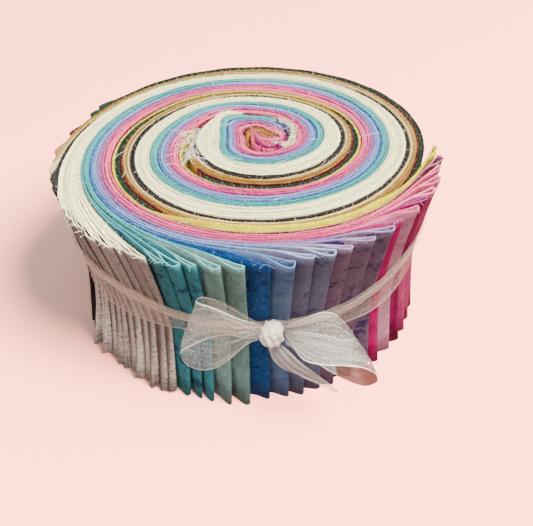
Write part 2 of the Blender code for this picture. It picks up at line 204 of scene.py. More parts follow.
# Ribbon round the waist: angle, lower edge, upper edge, and the share of its height that is
# folded over at the top.
BAND = (
    (-180, 20.0, 34.0, 0.4), (-165, 24.0, 41.0, 0.38), (-152, 26.4, 45.6, 0.36),
    (-141, 26.2, 46.6, 0.36), (-132, 27.2, 46.0, 0.36), (-124, 28.0, 44.4, 0.38),
    (-119, 28.6, 42.8, 0.4), (-113, 29.8, 40.4, 0.42), (-104, 31.0, 38.6, 0.45),
    (-92, 31.0, 37.6, 0.5), (-82, 29.5, 36.6, 0.5), (-72, 28.2, 36.4, 0.45),
    (-62, 26.4, 37.4, 0.42), (-51, 25.2, 39.6, 0.38), (-44, 24.8, 42.0, 0.36),
    (-38, 25.2, 44.2, 0.36), (-28, 25.4, 45.4, 0.38), (-12, 25.4, 44.0, 0.42),
    (10, 25.0, 40.0, 0.5), (90, 21.0, 33.0, 0.55),
)

# Section of that ribbon: place across it, how far up the band it lies, how far down the folded
# part, and how many layers lie under it. A place that comes twice is a fold.
PLEATS = (
    (0.0, 0.0, 0.0, 0.0), (0.46, 1.0, 0.0, 0.0), (0.46, 1.0, 0.0, 0.4), (0.66, 1.0, 1.0, 1.4),
    (0.66, 1.0, 1.0, 1.6), (0.84, 1.0, 0.08, 2.2), (0.84, 1.0, 0.08, 2.4), (1.0, 1.0, 0.93, 2.8),
)

# Bow pieces: upper edge x, y, z, then lower edge x, y, z, from one end of the ribbon to the other.
LEFT_LOOP = (
    (1.0, -66.6, 39.4, 1.0, -67.6, 35.0), (-3.2, -68.0, 44.1, -3.8, -68.9, 36.0),
    (-8.0, -68.3, 48.5, -9.0, -69.2, 37.7), (-12.7, -68.4, 51.4, -15.0, -69.8, 36.9),
    (-16.0, -69.4, 53.2, -19.7, -71.4, 35.7), (-17.2, -71.4, 53.9, -22.7, -74.2, 36.0),
    (-16.2, -74.0, 55.1, -21.7, -77.4, 35.4), (-13.3, -75.8, 55.6, -18.2, -79.0, 34.0),
    (-9.4, -75.8, 53.2, -13.3, -79.2, 34.1), (-5.1, -73.6, 48.3, -8.1, -77.6, 36.8),
    (-2.1, -71.6, 45.1, -3.7, -74.4, 38.7), (0.8, -69.4, 41.3, 0.7, -70.4, 37.0),
)
RIGHT_LOOP = (
    (7.6, -67.2, 38.5, 7.8, -69.4, 37.8), (12.6, -67.2, 41.3, 10.2, -75.0, 37.2),
    (18.2, -66.6, 43.6, 13.1, -79.6, 37.0), (22.1, -66.0, 42.7, 17.7, -82.0, 37.7),
    (25.3, -66.0, 39.3, 24.0, -83.4, 38.6), (27.6, -66.2, 36.1, 28.8, -83.8, 38.1),
    (28.9, -66.6, 33.9, 32.9, -83.0, 34.6), (28.5, -66.4, 32.0, 34.1, -81.4, 29.3),
    (26.4, -66.2, 31.5, 31.5, -79.6, 25.6), (22.3, -66.4, 33.1, 25.7, -78.0, 26.6),
    (16.7, -66.8, 35.4, 19.8, -75.6, 29.0), (11.9, -67.0, 36.1, 14.0, -72.6, 31.6),
    (8.0, -66.8, 34.8, 8.1, -69.8, 34.0),
)
TAIL = (
    (6.9, -68.2, 31.8, 2.8, -67.8, 30.6), (9.3, -70.4, 31.1, 4.2, -69.6, 27.4),
    (12.4, -71.4, 27.7, 7.0, -70.4, 24.2), (16.1, -71.6, 23.8, 11.7, -70.0, 20.6),
    (20.8, -70.4, 17.7, 16.8, -69.2, 17.0), (25.5, -68.8, 10.5, 24.6, -68.4, 9.3),
)


def linear(colour: Colour, alpha: float = 1.0) -> tuple[float, float, float, float]:
    """Turn a colour of 0 to 255 into the shader's linear values.

    Args:
        colour: Red, green and blue from 0 to 255.
        alpha: Fourth value.

    Returns:
        Linear red, green, blue and alpha.
    """
    values = []
    for channel in colour:
        share = channel / 255.0
        values.append(share / 12.92 if share <= 0.04045 else ((share + 0.055) / 1.055) ** 2.4)
    return (values[0], values[1], values[2], alpha)


def shade(colour: Colour, *shares: float) -> Colour:
    """Scale a colour's channels, by one share or by one each."""
    return tuple(channel * share for channel, share in zip(colour, shares * 3))


def read_round(table: Sequence[Sequence[float]], column: int, angle: np.ndarray) -> np.ndarray:
    """Read a column of a closed table at angles, eased between its rows.

    Args:
        table: Rows that begin with an angle and go once round.
        column: Which column to read.
        angle: Angles in degrees.

    Returns:
        The values at those angles.
    """
    places = np.array([row[0] for row in table] + [table[0][0] + FULL_TURN], float)
    values = np.array([row[column] for row in table] + [table[0][column]], float)
    turned = (np.asarray(angle, float) - places[0]) % FULL_TURN + places[0]
    row = np.clip(np.searchsorted(places, turned, side="right") - 1, 0, len(places) - 2)
    return values[row] + (values[row + 1] - values[row]) * ease(
        turned, places[row], places[row + 1])


def curve_through(places: np.ndarray, values: np.ndarray, at: np.ndarray) -> np.ndarray:
    """Read a smooth curve that goes through given points.

    Args:
        places: Rising places of the points.
        values: Values at those places, one column or several.
        at: Places to read.

    Returns:
        The curve's values there.
    """
    gaps = np.diff(places)
    shape = (-1,) + (1,) * (values.ndim - 1)
    wide = gaps.reshape(shape)
    rises = np.diff(values, axis=0) / wide
    slopes = np.concatenate([rises[:1], (rises[:-1] * wide[1:] + rises[1:] * wide[:-1])
                             / (wide[:-1] + wide[1:]), rises[-1:]])
    row = np.clip(np.searchsorted(places, at, side="right") - 1, 0, len(gaps) - 1)
    share = np.clip((at - places[row]) / gaps[row], 0.0, 1.0).reshape(shape)
    step = gaps[row].reshape(shape)
    low, high = values[row], values[row + 1]
    return (low * (1 + 2 * share) * (1 - share) ** 2 + high * share ** 2 * (3 - 2 * share)
            + step * slopes[row] * share * (1 - share) ** 2
            - step * slopes[row + 1] * share ** 2 * (1 - share))


def ease(value: np.ndarray, low: float, high: float) -> np.ndarray:
    """Rise smoothly from 0 at low to 1 at high."""
    share = np.clip((np.asarray(value, float) - low) / (high - low), 0.0, 1.0)
    return share * share * (3.0 - 2.0 * share)


def lengths(line: np.ndarray) -> np.ndarray:
    """Distance along a line of points, from its first point."""
    steps = np.linalg.norm(np.diff(line, axis=0), axis=1)
    return np.concatenate([[0.0], np.cumsum(steps)])


def unit(vectors: np.ndarray) -> np.ndarray:
    """Vectors of the same directions with a length of one."""
    return vectors / np.maximum(np.linalg.norm(vectors, axis=-1, keepdims=True), 1e-9)


def round_line(radius: np.ndarray, angle: np.ndarray, height: np.ndarray) -> np.ndarray:
    """Points at radii, angles in degrees and heights."""
    turn = np.radians(angle)
    return np.stack([radius * np.cos(turn), radius * np.sin(turn), height], -1)


def profile(radii: Sequence[np.ndarray], height: np.ndarray) -> np.ndarray:
    """Radius of the roll's drawn-in side at a height.

    Args:
        radii: Radius at the rim, the waist and the foot.
        height: Height in millimetres.

    Returns:
        Radii in millimetres.
    """
    rim, waist, foot = radii
    above = np.clip((height - WAIST_HEIGHT) / (STRIP_WIDTH - WAIST_HEIGHT), 0.0, 1.0)
    below = np.clip((WAIST_HEIGHT - height) / WAIST_HEIGHT, 0.0, 1.0)
    return waist + (rim - waist) * above ** RIM_CURVE + (foot - waist) * below ** FOOT_CURVE


class NodeBench:
    """Adds nodes to a tree and joins them, so that a finish reads as a short list of steps."""

    def __init__(self, tree: bpy.types.NodeTree) -> None:
        """Keep the tree.

        Args:
            tree: The node tree to fill.
        """
        self.tree = tree

    def add(self, kind: str, settings: Optional[dict] = None, **inputs: object) -> bpy.types.Node:
        """Add a node.

        Args:
            kind: Blender's type name for the node.
            settings: Properties to set on it.
            inputs: Input name with underscores for spaces, to a value or to a socket.

        Returns:
            The new node.
        """
        node = self.tree.nodes.new(kind)
        for name, value in (settings or {}).items():
            setattr(node, name, value)
        self.fill(node, **inputs)
        return node

    def fill(self, node: bpy.types.Node, **inputs: object) -> None:
        """Set a node's inputs, named with underscores for spaces."""
        for name, value in inputs.items():
            self.feed(node.inputs[name.replace("_", " ")], value)

    def feed(self, socket: bpy.types.NodeSocket, value: object) -> None:
        """Set a socket to a value or join it to another socket."""
        if isinstance(value, bpy.types.NodeSocket):
            self.tree.links.new(value, socket)
        else:
            socket.default_value = value

    def math(self, operation: str, *values: object) -> bpy.types.NodeSocket:
        """Add a Math node and return its result.

        Args:
            operation: Blender's name of the operation.
            values: Numbers or sockets for its inputs.

        Returns:
            The result's socket.
        """
        node = self.add("ShaderNodeMath", {"operation": operation})
        for place, value in enumerate(values):
            self.feed(node.inputs[place], value)
        return node.outputs[0]

    def times(self, first: object, second: object) -> bpy.types.NodeSocket:
        """Multiply two values."""
        return self.math("MULTIPLY", first, second)

    def plus(self, first: object, second: object) -> bpy.types.NodeSocket:
        """Add two values."""
        return self.math("ADD", first, second)

    def attribute(self, name: str, output: str = "Fac") -> bpy.types.NodeSocket:
        """Read a point attribute of the piece."""
        return self.add("ShaderNodeAttribute", {"attribute_name": name}).outputs[output]

    def scaled(self, vector: object, x: float, y: float) -> bpy.types.NodeSocket:
        """Stretch a place along its first two axes."""
        return self.add("ShaderNodeMapping", Vector=vector, Scale=(x, y, 1.0)).outputs[0]

    def cloth(self) -> tuple[bpy.types.NodeSocket, bpy.types.NodeSocket, bpy.types.NodeSocket]:
        """Place on the cloth in millimetres: both together, along it, and across it."""
        place = self.scaled(self.add("ShaderNodeTexCoord").outputs["UV"], 1000.0, 1000.0)
        axes = self.add("ShaderNodeSeparateXYZ", Vector=place)
        return place, axes.outputs[0], axes.outputs[1]

    def between(self, value: object, low: float, high: float, to_low: float = 0.0,
                to_high: float = 1.0) -> bpy.types.NodeSocket:
        """Map a value smoothly from one range to another.

        Args:
            value: Socket to map.
            low: Start of the range it comes from.
            high: End of that range.
            to_low: Result at the start.
            to_high: Result at the end.

        Returns:
            The result's socket.
        """
        node = self.add("ShaderNodeMapRange", {"interpolation_type": "SMOOTHSTEP"}, Value=value)
        for place, number in zip(("From Min", "From Max", "To Min", "To Max"),
                                 (low, high, to_low, to_high)):
            node.inputs[place].default_value = number
        return node.outputs[0]

    def blend(self, share: object, first: object, second: object) -> bpy.types.NodeSocket:
        """Mix two colours.

        Args:
            share: Share of the second colour.
            first: A colour or a socket.
            second: A colour or a socket.

        Returns:
            The mixed colour's socket.
        """
        node = self.add("ShaderNodeMix", {"data_type": "RGBA"})
        self.feed(node.inputs[0], share)
        self.feed(node.inputs[6], first)
        self.feed(node.inputs[7], second)
        return node.outputs[2]

    def lit(self, colour: object, value: object) -> bpy.types.NodeSocket:
        """Darken or lighten a colour."""
        return self.add("ShaderNodeHueSaturation", Color=colour, Value=value).outputs[0]

    def bump(self, height: object, strength: float, distance: float) -> bpy.types.NodeSocket:
        """Add a bump of so many metres and return its normal."""
        return self.add("ShaderNodeBump", Strength=strength, Distance=distance,
                        Height=height).outputs[0]

    def noise(self, vector: object, scale: float, detail: float = 2.0, rough: float = 0.5,
              distortion: float = 0.0) -> bpy.types.NodeSocket:
        """Add a noise and return its value.

        Args:
            vector: Socket with the place.
            scale: Cycles per unit of the place.
            detail: Octaves.
            rough: Strength of the finer octaves.
            distortion: How far the pattern is bent.

        Returns:
            The value's socket.
        """
        node = self.add("ShaderNodeTexNoise", Vector=vector, Scale=scale, Detail=detail,
                        Roughness=rough, Distortion=distortion)
        return node.outputs[0]


def new_material(name: str, colour: Optional[Colour] = None
                 ) -> tuple[bpy.types.Material, NodeBench, bpy.types.Node]:
    """Make a material with its shader.

    Args:
        name: Name of the material.
        colour: Its plain colour, from 0 to 255.

    Returns:
        The material, a bench for its nodes, and its Principled shader.
    """
    material = bpy.data.materials.new(name)
    material.use_nodes = True
    shader = material.node_tree.nodes["Principled BSDF"]
    if colour:
        shader.inputs["Base Color"].default_value = linear(colour)
    return material, NodeBench(material.node_tree), shader


@dataclass(frozen=True)
class Cotton:
    """Printed quilting cotton with a paler raw edge.

    Its pattern reads the strip's own UV map: metres along the strip and up its width.
    """

    face: Colour
    edge: Colour
    motif: Colour
    kind: Print
    motif_size: float = 5.0
    motif_share: float = 0.5
    fleck: Colour = (150, 140, 130)
    fleck_share: float = 0.25
    fray: float = 0.65
    thread_pitch: float = 0.42
    # Shares of the face colour used for the painted shade under the rim and in the gaps.
    painted_shade: Colour = (0.4, 0.34, 0.32)

    def make(self, name: str) -> bpy.types.Material:
        """Build the material.

        Args:
            name: Name of the finish.

        Returns:
            The material.
        """
        material, bench, shader = new_material("cotton_" + name, self.face)
        cloth, along, up = bench.cloth()
        colour = self.printed(bench, cloth)
        cloudy = bench.noise(cloth, 0.07, 3.0, 0.55)
        colour = bench.blend(bench.between(cloudy, 0.35, 0.7, 0.0, 0.4), colour,
                             linear(shade(self.face, 0.72)))
        flecks = bench.noise(cloth, 0.95, 2.0, 0.75)
        colour = bench.blend(bench.between(flecks, 0.56, 0.66, 0.0, self.fleck_share), colour,
                             linear(self.fleck))
        weave = self.weave(bench, along, up)
        colour = bench.blend(bench.times(weave, 0.22), colour, linear(shade(self.face, 0.55)))
        streak = bench.scaled(cloth, 0.9, 3.0)
        fibre = bench.noise(streak, 1.0, 3.0, 0.7)
        # Painted shade: the face is darkened under the rim and in the gaps between the folds, by
        # the crease attribute.
        colour = bench.blend(bench.attribute("crease"), colour,
                             linear(shade(self.face, *self.painted_shade)))
        ragged = bench.plus(up, bench.times(fibre, 0.9))
        rim = bench.between(ragged, STRIP_WIDTH - 0.25, STRIP_WIDTH + 0.25)
        colour = bench.blend(rim, colour, self.raw_edge(bench, cloth, fibre))
        grain = bench.noise(cloth, 1.6, 2.0, 0.8)
        value = bench.plus(bench.between(grain, 0.25, 0.75, 0.68, 1.04),
                           bench.times(bench.attribute("tone"), 0.28))
        slub = bench.noise(streak, 2.2, 2.0, 0.6)
        bench.fill(shader, Base_Color=bench.lit(colour, value),
                   Roughness=bench.between(bench.noise(cloth, 0.8, 2.0), 0.3, 0.7, 0.85, 0.97),
                   Normal=bench.bump(bench.plus(weave, bench.times(slub, 0.8)), 0.55, 0.00014),
                   Sheen_Weight=0.04, Sheen_Roughness=0.5, Specular_IOR_Level=0.06)
        return material

    def raw_edge(self, bench: NodeBench, cloth: bpy.types.NodeSocket,
                 fibre: bpy.types.NodeSocket) -> bpy.types.NodeSocket:
        """Colour of the cut edge, where the ends of the threads show as paler dots.

        Args:
            bench: The material's bench.
            cloth: Place in millimetres.
            fibre: Streaky noise.

        Returns:
            The colour's socket.
        """
        bright = tuple(min(250.0, channel) for channel in shade(self.edge, 1.14))
        edge = bench.blend(bench.between(fibre, 0.3, 0.7), linear(shade(self.edge, 0.74)),
                           linear(bright))
        pale = linear(tuple(0.55 * channel + 104.0 for channel in self.edge))
        wear = bench.attribute("wear")
        edge = bench.lit(edge, bench.between(wear, 0.0, 0.7, 0.54, 1.14))
        worn = bench.math("MAXIMUM", bench.times(bench.attribute("fold"), self.fray),
                          bench.between(wear, 0.35, 1.0, 0.0, self.fray * 0.8))
        ends = bench.noise(bench.scaled(cloth, 2.2, 6.0), 1.0, 1.0)
        dots = bench.between(ends, 0.55, 0.67, 0.0, self.fray * 0.55)
        return bench.blend(dots, bench.blend(worn, edge, pale), pale)

    def weave(self, bench: NodeBench, along: bpy.types.NodeSocket, up: bpy.types.NodeSocket
              ) -> bpy.types.NodeSocket:
        """Height of a plain weave, where warp and weft pass over each other in turn.

        Args:
            bench: The material's bench.
            along: Place along the strip in millimetres.
            up: Place up its width.

        Returns:
            A value from 0 to 1.
        """
        turn = math.pi / self.thread_pitch
        warp, weft = (bench.math("SINE", bench.times(axis, turn)) for axis in (along, up))
        return bench.math("ABSOLUTE", bench.times(warp, weft))

    def printed(self, bench: NodeBench, cloth: bpy.types.NodeSocket) -> bpy.types.NodeSocket:
        """Ground colour with its print.

        Args:
            bench: The material's bench.
            cloth: Place in millimetres.

        Returns:
            The colour's socket.
        """
        size = 1.0 / self.motif_size
        if self.kind is Print.SPECKLED:
            flecks = bench.noise(cloth, size * 1.5, 4.0, 0.7, 0.1)
            spread = bench.noise(cloth, size * 0.22, 1.0)
            mark = bench.times(bench.between(flecks, 0.51, 0.62),
                               bench.between(spread, 0.3, 0.6, 0.45, 1.0))
        elif self.kind is Print.SPRIGGED:
            leaves = bench.noise(bench.scaled(cloth, 0.8, 1.25), size * 1.15, 5.0, 0.66, 0.45)
            spread = bench.noise(cloth, size * 0.35, 1.0)
            buds = bench.between(bench.noise(cloth, size * 2.6, 2.0), 0.6, 0.66)
            mark = bench.times(bench.between(leaves, 0.54, 0.585),
                               bench.between(spread, 0.4, 0.55))
            mark = bench.math("MAXIMUM", mark, bench.times(buds, 0.5))
        elif self.kind is Print.CLOUDED:
            mark = bench.between(bench.noise(cloth, size * 0.7, 4.0, 0.62, 0.4), 0.4, 0.64)
        else:
            mark = bench.between(bench.noise(cloth, size, 2.0), 0.35, 0.75)
        return bench.blend(bench.times(mark, self.motif_share), linear(self.face),
                           linear(self.motif))


@dataclass(frozen=True)
class Organza:
    """Sheer woven ribbon: fine threads that let light through, with dense woven edges.

    Its pattern reads the ribbon's UV map: metres along the ribbon and across its width.
    """

    colour: Colour = (252, 240, 220)
    ground: float = 0.02
    selvedge: float = 0.85
    edge_width: float = 0.42
    thread_pitch: float = 0.5
    # Brown painted shade for the turned-over end of a loop, where its inner side lies in shadow.
    inside: Colour = (84, 40, 32)

    def make(self, name: str) -> bpy.types.Material:
        """Build the material.

        Args:
            name: Name of the finish.

        Returns:
            The material.
        """
        material, bench, shader = new_material("organza_" + name, self.colour)
        cloth, along, across = bench.cloth()
        turn = 2.0 * math.pi / self.thread_pitch
        warp, weft = (bench.math("SINE", bench.times(axis, turn)) for axis in (across, along))
        net = bench.between(bench.math("MAXIMUM", warp, weft), 0.2, 1.0)
        slack = bench.noise(bench.scaled(cloth, 0.06, 0.7), 1.0, 3.0, 0.6)
        speck = bench.noise(cloth, 1.4, 3.0, 0.75)
        density = bench.plus(bench.times(net, 0.2), bench.between(
            slack, 0.3, 0.7, self.ground - 0.07, self.ground + 0.15))
        density = bench.plus(density, bench.between(speck, 0.42, 0.68, -0.07, 0.21))
        middle = bench.math("ABSOLUTE", bench.math("SUBTRACT", across, RIBBON_WIDTH / 2))
        edge = RIBBON_WIDTH / 2 - self.edge_width
        selvedge = bench.times(bench.between(middle, edge - 0.25, edge + 0.15), self.selvedge)
        colour = bench.blend(bench.between(speck, 0.3, 0.7), linear(self.colour),
                             linear(shade(self.colour, 0.93)))
        # Turned-over end: the brown colour is painted shade; the higher opacity stands for the
        # folded layers seen edge-on.
        turned = bench.between(bench.attribute("turned"), 0.0, 0.5)
        alpha = bench.math("MAXIMUM", bench.math("MAXIMUM", density, selvedge),
                           bench.times(turned, 0.96))
        bench.fill(shader, Base_Color=bench.blend(turned, colour, linear(self.inside)),
                   Alpha=alpha, Roughness=bench.between(slack, 0.3, 0.7, 0.42, 0.6),
                   Normal=bench.bump(bench.plus(net, slack), 0.5, 0.0001),
                   Sheen_Weight=0.1, Specular_IOR_Level=0.4)
        return material


@dataclass(frozen=True)
class LooseThread:
    """Fine cotton thread whose colour comes with each thread."""

    darker: float = 0.8

    def make(self, name: str) -> bpy.types.Material:
        """Build the material.

        Args:
            name: Name of the finish.

        Returns:
            The material.
        """
        material, bench, shader = new_material("thread_" + name)
        tint = bench.attribute("tint", "Color")
        twist = bench.noise(bench.add("ShaderNodeTexCoord").outputs["Object"], 3000.0, 2.0)
        bench.fill(shader, Base_Color=bench.blend(bench.between(twist, 0.35, 0.65),
                                                  bench.lit(tint, self.darker), tint),
                   Roughness=bench.between(twist, 0.3, 0.7, 0.8, 0.95),
                   Normal=bench.bump(twist, 0.3, 0.00005), Sheen_Weight=0.25)
        return material


@dataclass(frozen=True)
class PaleFloor:
    """Plain pale paper sweep under the roll."""

    colour: Colour = (255, 166, 148)

    def make(self, name: str) -> bpy.types.Material:
        """Build the material.

        Args:
            name: Name of the finish.

        Returns:
            The material.
        """
        material, bench, shader = new_material("floor_" + name)
        grain = bench.noise(bench.add("ShaderNodeTexCoord").outputs["Object"], 40.0, 3.0)
        colour = bench.blend(bench.between(grain, 0.3, 0.7, 0.0, 0.06), linear(self.colour),
                             linear(shade(self.colour, 0.97)))
        bench.fill(shader, Base_Color=colour, Roughness=0.9, Specular_IOR_Level=0.1)
        return material


COTTONS = {
    "white": Cotton((248, 224, 210), (236, 222, 156), (112, 76, 62), Print.SPECKLED, 1.7, 0.75,
                    (104, 72, 60), 0.6, fray=0.4),
    "teal": Cotton((62, 134, 142), (5, 106, 102), (7, 52, 92), Print.SPRIGGED, 8.0, 0.95,
                   (150, 190, 190), 0.2, fray=0.5),
    "mint": Cotton((142, 175, 166), (3, 122, 118), (87, 119, 113), Print.CLOUDED, 6.0, 0.6,
                   (104, 84, 72), 0.5),
    "blue": Cotton((22, 84, 146), (2, 48, 116), (5, 34, 84), Print.SPRIGGED, 4.5, 0.9,
                   (140, 124, 96), 0.4, fray=0.08),
    "slate": Cotton((108, 127, 156), (26, 78, 126), (52, 82, 136), Print.CLOUDED, 9.0, 0.9,
                    (140, 126, 116), 0.4, fray=0.4),
    "periwinkle": Cotton((104, 100, 122), (73, 100, 148), (56, 54, 104), Print.SPRIGGED, 8.0, 0.85,
                         (140, 118, 118), 0.4),
    "purple": Cotton((130, 100, 122), (100, 72, 128), (48, 32, 88), Print.SPRIGGED, 7.0, 0.95,
                     (160, 130, 140), 0.3),
    "hot_pink": Cotton((216, 6, 114), (136, 4, 84), (150, 4, 62), Print.CLOUDED, 6.0, 0.9,
                       (214, 90, 140), 0.35, fray=0.25),
    "rose": Cotton((232, 150, 172), (190, 26, 84), (176, 84, 118), Print.CLOUDED, 6.0, 0.8,
                   (215, 160, 172), 0.35, fray=0.35),
    "magenta": Cotton((156, 0, 84), (110, 4, 78), (88, 0, 38), Print.CLOUDED, 6.0, 0.9,
                      (170, 8, 96), 0.3, fray=0.2),
    "blush": Cotton((208, 62, 120), (212, 62, 92), (174, 40, 90), Print.CLOUDED, 5.0, 0.7,
                    (210, 130, 156), 0.35, fray=0.55),
    "wine": Cotton((112, 12, 38), (98, 8, 34), (80, 8, 30), Print.CLOUDED, 5.0, 0.6,
                   (160, 60, 80), 0.3, fray=0.8),
    "yellow": Cotton((200, 188, 0), (184, 168, 0), (150, 130, 0), Print.CLOUDED, 3.0, 0.7,
                     (222, 206, 90), 0.35, fray=0.1),
    "green": Cotton((20, 54, 32), (6, 31, 15), (14, 38, 24), Print.CLOUDED, 4.0, 0.6,
                    (60, 90, 66), 0.25, fray=0.05),
    "red": Cotton((92, 10, 9), (62, 3, 3), (74, 8, 8), Print.CLOUDED, 4.0, 0.6,
                  (150, 50, 40), 0.25, fray=0.06),
    "gold": Cotton((186, 134, 62), (132, 91, 10), (150, 100, 34), Print.CLOUDED, 4.0, 0.6,
                   (210, 170, 100), 0.3, fray=0.4),
    "tan": Cotton((170, 130, 72), (130, 97, 34), (127, 94, 54), Print.CLOUDED, 4.0, 0.5,
                  (190, 160, 120), 0.3, fray=0.4),
    "cream": Cotton((204, 177, 128), (176, 146, 68), (170, 142, 100), Print.SPECKLED, 2.0, 0.5,
                    (150, 120, 90), 0.3, fray=0.6),
    "black": Cotton((24, 22, 22), (18, 17, 17), (11, 11, 11), Print.PLAIN, 4.0, 0.5,
                    (50, 50, 52), 0.2, fray=0.08),
}


def add_object(name: str, data: bpy.types.ID) -> bpy.types.Object:
    """Make an object of some data and add it to the scene."""
    holder = bpy.data.objects.new(name, data)
    bpy.context.scene.collection.objects.link(holder)
    return holder


def claim(piece: bpy.types.Object, slot: str, *nodes: str) -> None:
    """Hang a piece on the roll and hide the CAD nodes that it stands for."""
    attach(piece, "root")
    if nodes:
        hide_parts(*nodes)


def mesh_object(name: str, points: np.ndarray, faces: np.ndarray, uvs: Optional[np.ndarray],
                material: bpy.types.Material, flat_faces: Optional[np.ndarray] = None
                ) -> bpy.types.Object:
    """Make a mesh piece of four-sided faces.

    Args:
        name: Name of the piece.
        points: Points in metres, a row each.
        faces: Four point numbers a row.
        uvs: Place on the cloth of each point in metres, or None.
        material: Finish.
        flat_faces: True where a face is shaded flat.

    Returns:
        The object, at the origin.
    """
    mesh = bpy.data.meshes.new(name)
    mesh.vertices.add(len(points))
    mesh.vertices.foreach_set("co", points.astype(np.float32).ravel())
    mesh.loops.add(len(faces) * 4)
    mesh.loops.foreach_set("vertex_index", faces.astype(np.int32).ravel())
    mesh.polygons.add(len(faces))
    mesh.polygons.foreach_set("loop_start", np.arange(0, len(faces) * 4, 4, dtype=np.int32))
    mesh.update(calc_edges=True)
    mesh.shade_smooth()
    if flat_faces is not None:
        mesh.polygons.foreach_set("use_smooth", ~flat_faces)
    if uvs is not None:
        layer = mesh.uv_layers.new(name="cloth")
        layer.data.foreach_set("uv", uvs[faces.ravel()].astype(np.float32).ravel())
    mesh.validate()
    mesh.materials.append(material)
    return add_object(name, mesh)


def set_number(piece: bpy.types.Object, name: str, values: np.ndarray) -> None:
    """Store a number for every point of a mesh piece."""
    attribute = piece.data.attributes.new(name, "FLOAT", "POINT")
    attribute.data.foreach_set("value", values.astype(np.float32))


def set_colour(piece: bpy.types.Object, name: str, values: np.ndarray) -> None:
    """Store a colour for every point of a mesh piece."""
    attribute = piece.data.attributes.new(name, "FLOAT_COLOR", "POINT")
    attribute.data.foreach_set("color", values.astype(np.float32).ravel())


@dataclass(frozen=True)
class FoldedEnd:
    """The end of a strip that shows on the side of the roll.

    It has the angle of its fold, how wide the fold stands open, how many degrees back it leaves
    the winding, and how far its lower corner lifts and stands out.
    """

    colour: str
    number: int
    tip: float
    open_top: float
    open_foot: float
    leaving: float
    lift: float
    out: float


